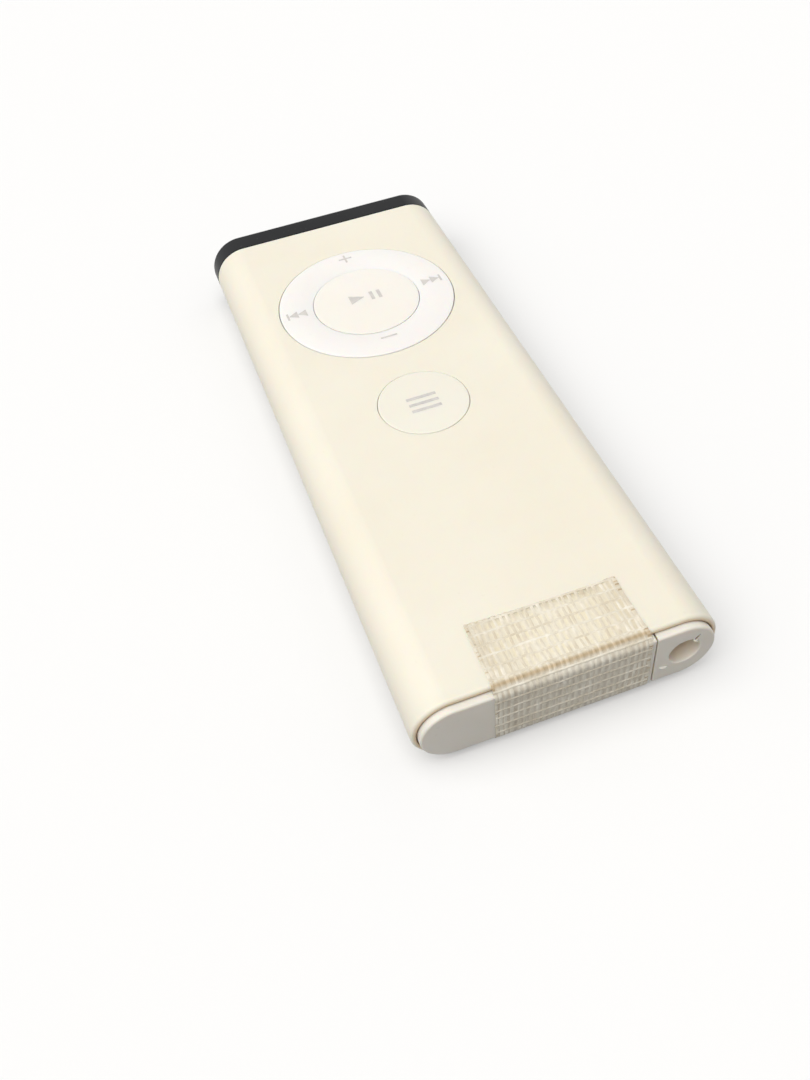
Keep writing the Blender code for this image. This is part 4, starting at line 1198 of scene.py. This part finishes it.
def makeYarnAcross(shape):
    model, count = startYarn(), tapeSet["crossSteps"]
    for row in shape.rows:
        wave, tone = shape.draw.uniform(0, 100), shape.draw.uniform(0.05, 0.28)
        low, high = -shape.draw.uniform(0.0, 0.008), 1 + shape.draw.uniform(0.0, 0.008)
        points = []
        for k in range(count + 1):
            u = low + (high - low) * k / count
            s = row + 0.07 * mm * wobble(u * 9, wave, 4)
            if s > shape.cutAt(clamp(u)):
                points.append((shape.spot(u, s, 0.03 * mm), shape.at(s)[1]))
        if len(points) > 2:
            tones = [max(tone + 0.25 * wobble(k * 0.3, wave, 9), 0) for k in range(len(points))]
            tall = tapeSet["rowTall"][row > shape.fold] * mm
            addYarn(model, points, tones, tapeSet["rowWide"] / 2 * mm, tall)
    return finishPiece(linkModel("tapeYarnAcross", model), "tray", tapeThread, angle=60)


def makeTape():
    shape = TapeShape()
    along, crossing, film = makeYarnAlong(shape), makeYarnAcross(shape), makeFilm(shape)


# inside pieces that keep the CAD shape, merged and smoothed

insideSet = {
    "coin_cell_can": "cellCan", "coin_cell_gasket": "cellGasket", "coin_cell_cap": "cellCap",
    "release_plunger": "releasePlunger", "plunger_spring": "plungerSpring", "ir_led": "infraredLamp",
    "inner_chassis": "innerChassis", "dome_menu": "domeMenu", "dome_centre": "domeCentre",
    "dome_up": "domeUp", "dome_down": "domeDown", "dome_left": "domeLeft", "dome_right": "domeRight",
}
# tan painted over the whole plunger: painted shade of its nose deep in the release hole
plungerShade = 0.75
pressedShare = 0.42  # share of a dome's height when its key is pressed
pressSet = {  # joint that flattens a spring, the way it gives, which corner of its box stays, the share that is left
    "plunger_spring": ("release_press", (0, 1, 0), 1, 0.80),
    "dome_menu": ("menu_press", (0, 0, 1), 0, pressedShare),
    "dome_centre": ("centre_press", (0, 0, 1), 0, pressedShare),
    "dome_up": ("ring_tilt_up_down", (0, 0, 1), 0, pressedShare),
    "dome_down": ("ring_tilt_up_down", (0, 0, 1), 0, pressedShare),
    "dome_left": ("ring_tilt_left_right", (0, 0, 1), 0, pressedShare),
    "dome_right": ("ring_tilt_left_right", (0, 0, 1), 0, pressedShare),
}


def evenShade(place):
    return plungerShade


def makeInside():
    bodyOf = {}
    for body, members in frame["record"]["behaviour"]["bodies"].items():
        bodyOf.update({nodeName: body for nodeName in members})
    for nodeName, pieceName in insideSet.items():
        piece = bpy.data.objects.new(pieceName, nodes[nodeName].data.copy())
        bpy.context.scene.collection.objects.link(piece)
        startEdit(piece)
        bpy.ops.mesh.select_all(action="SELECT")
        bpy.ops.mesh.remove_doubles(threshold=0.002 * mm)
        bpy.ops.mesh.dissolve_limited(angle_limit=math.radians(0.5))
        endEdit()
        if nodeName == "release_plunger":
            soilAndShade(piece, evenShade)
        slotName = slotOf[nodeName]
        finishPiece(piece, bodyOf[nodeName], slotFinish[slotName], [nodeName])
        if nodeName in pressSet:
            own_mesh(piece)


makeSleeve()
makeWindow()
makeEndBlock()
makeTray()
makeKeys()
makeSigns()
makeTape()
makeInside()
print("pieces done")


# camera, floor and light

cameraSet = {
    "place": (-27.789, -91.407, 92.681), "look": (0.16726, 0.63474, -0.75441), "lean": (0.30139, 0.69563, 0.65212),
    "lens": 36.145, "sensor": 36.0, "nearest": 0.005, "farthest": 20,
}


def makeCamera():
    data = bpy.data.cameras.new("viewCamera")
    data.lens = cameraSet["lens"]
    data.sensor_width = cameraSet["sensor"]
    data.clip_start, data.clip_end = cameraSet["nearest"], cameraSet["farthest"]
    camera = bpy.data.objects.new("viewCamera", data)
    bpy.context.scene.collection.objects.link(camera)
    look, lean = Vector(cameraSet["look"]), Vector(cameraSet["lean"])
    turn = Matrix((look.cross(lean), lean, -look)).transposed().to_4x4()
    camera.matrix_world = Matrix.Translation(Vector(cameraSet["place"]) * mm) @ turn
    bpy.context.scene.camera = camera


lightSet = {
    "sunWay": (0.33, 0.14, -0.933), "sunPower": 2.20, "sunAngle": 75, "sunTone": (1.0, 0.985, 0.96),
    "sky": 0.25, "skyTone": (0.97, 0.985, 1.0), "floorTone": 0.73, "floorGlow": 0.21, "floorBounce": 0.19,
    "fills": (((-0.93, -0.25, -0.30), 0.7), ((0.95, 0.0, -0.31), 0.85)), "fillAngle": 90, "floorSize": 6.0,
    "floorDrop": 0.02 * mm,
}


def seenRays(tree):  # 1 for what the camera sees, also by way of gloss and glass
    path = addNode(tree, "LightPath").outputs
    seen = mathNode(tree, "MAXIMUM", path["Is Camera Ray"], path["Is Glossy Ray"])
    return mathNode(tree, "MAXIMUM", seen, path["Is Transmission Ray"])


def makeFloor():
    clearPick()
    bpy.ops.mesh.primitive_plane_add(size=lightSet["floorSize"], location=(0, 0, cadBox[0].z - lightSet["floorDrop"]))
    floor = bpy.context.object
    floor.name = "paleFloor"
    material = bpy.data.materials.new("paleFloor")
    material.use_nodes = True
    tree = material.node_tree
    tree.nodes.remove(tree.nodes["Principled BSDF"])
    greys = [opaque([lightSet[name]] * 3) for name in ("floorBounce", "floorTone")]
    bounce, shadow = (addNode(tree, "BsdfDiffuse", {}, {"Color": grey}).outputs[0] for grey in greys)
    glow = addNode(tree, "Emission", {}, {"Strength": lightSet["floorGlow"]}).outputs[0]
    shown = addNode(tree, "AddShader", {}, {0: shadow, 1: glow}).outputs[0]
    mix = addNode(tree, "MixShader", {}, {0: seenRays(tree), 1: bounce, 2: shown})
    tree.links.new(mix.outputs[0], tree.nodes["Material Output"].inputs["Surface"])
    floor.data.materials.append(material)


def addSun(name, way, power, angle):
    data = bpy.data.lights.new(name, "SUN")
    data.energy = power
    data.angle = math.radians(angle)
    data.color = lightSet["sunTone"]
    sun = bpy.data.objects.new(name, data)
    sun.rotation_euler = Vector(way).to_track_quat("-Z", "Y").to_euler()
    bpy.context.scene.collection.objects.link(sun)


def makeLight():
    addSun("softSun", lightSet["sunWay"], lightSet["sunPower"], lightSet["sunAngle"])
    for way, power in lightSet["fills"]:
        addSun("sideFill", way, power, lightSet["fillAngle"])
    world = bpy.data.worlds.new("studio")
    bpy.context.scene.world = world
    world.use_nodes = True
    tree = world.node_tree
    backdrop = addNode(tree, "Background", {}, {"Color": (1, 1, 1, 1), "Strength": 1.0}).outputs[0]
    sky = tree.nodes["Background"]
    sky.inputs["Color"].default_value = opaque(lightSet["skyTone"])
    sky.inputs["Strength"].default_value = lightSet["sky"]
    mix = addNode(tree, "MixShader", {}, {0: seenRays(tree), 1: sky.outputs[0], 2: backdrop})
    tree.links.new(mix.outputs[0], tree.nodes["World Output"].inputs["Surface"])


makeCamera()
makeFloor()
makeLight()
bpy.context.scene.view_settings.view_transform = "Standard"
print("camera, floor and light done")
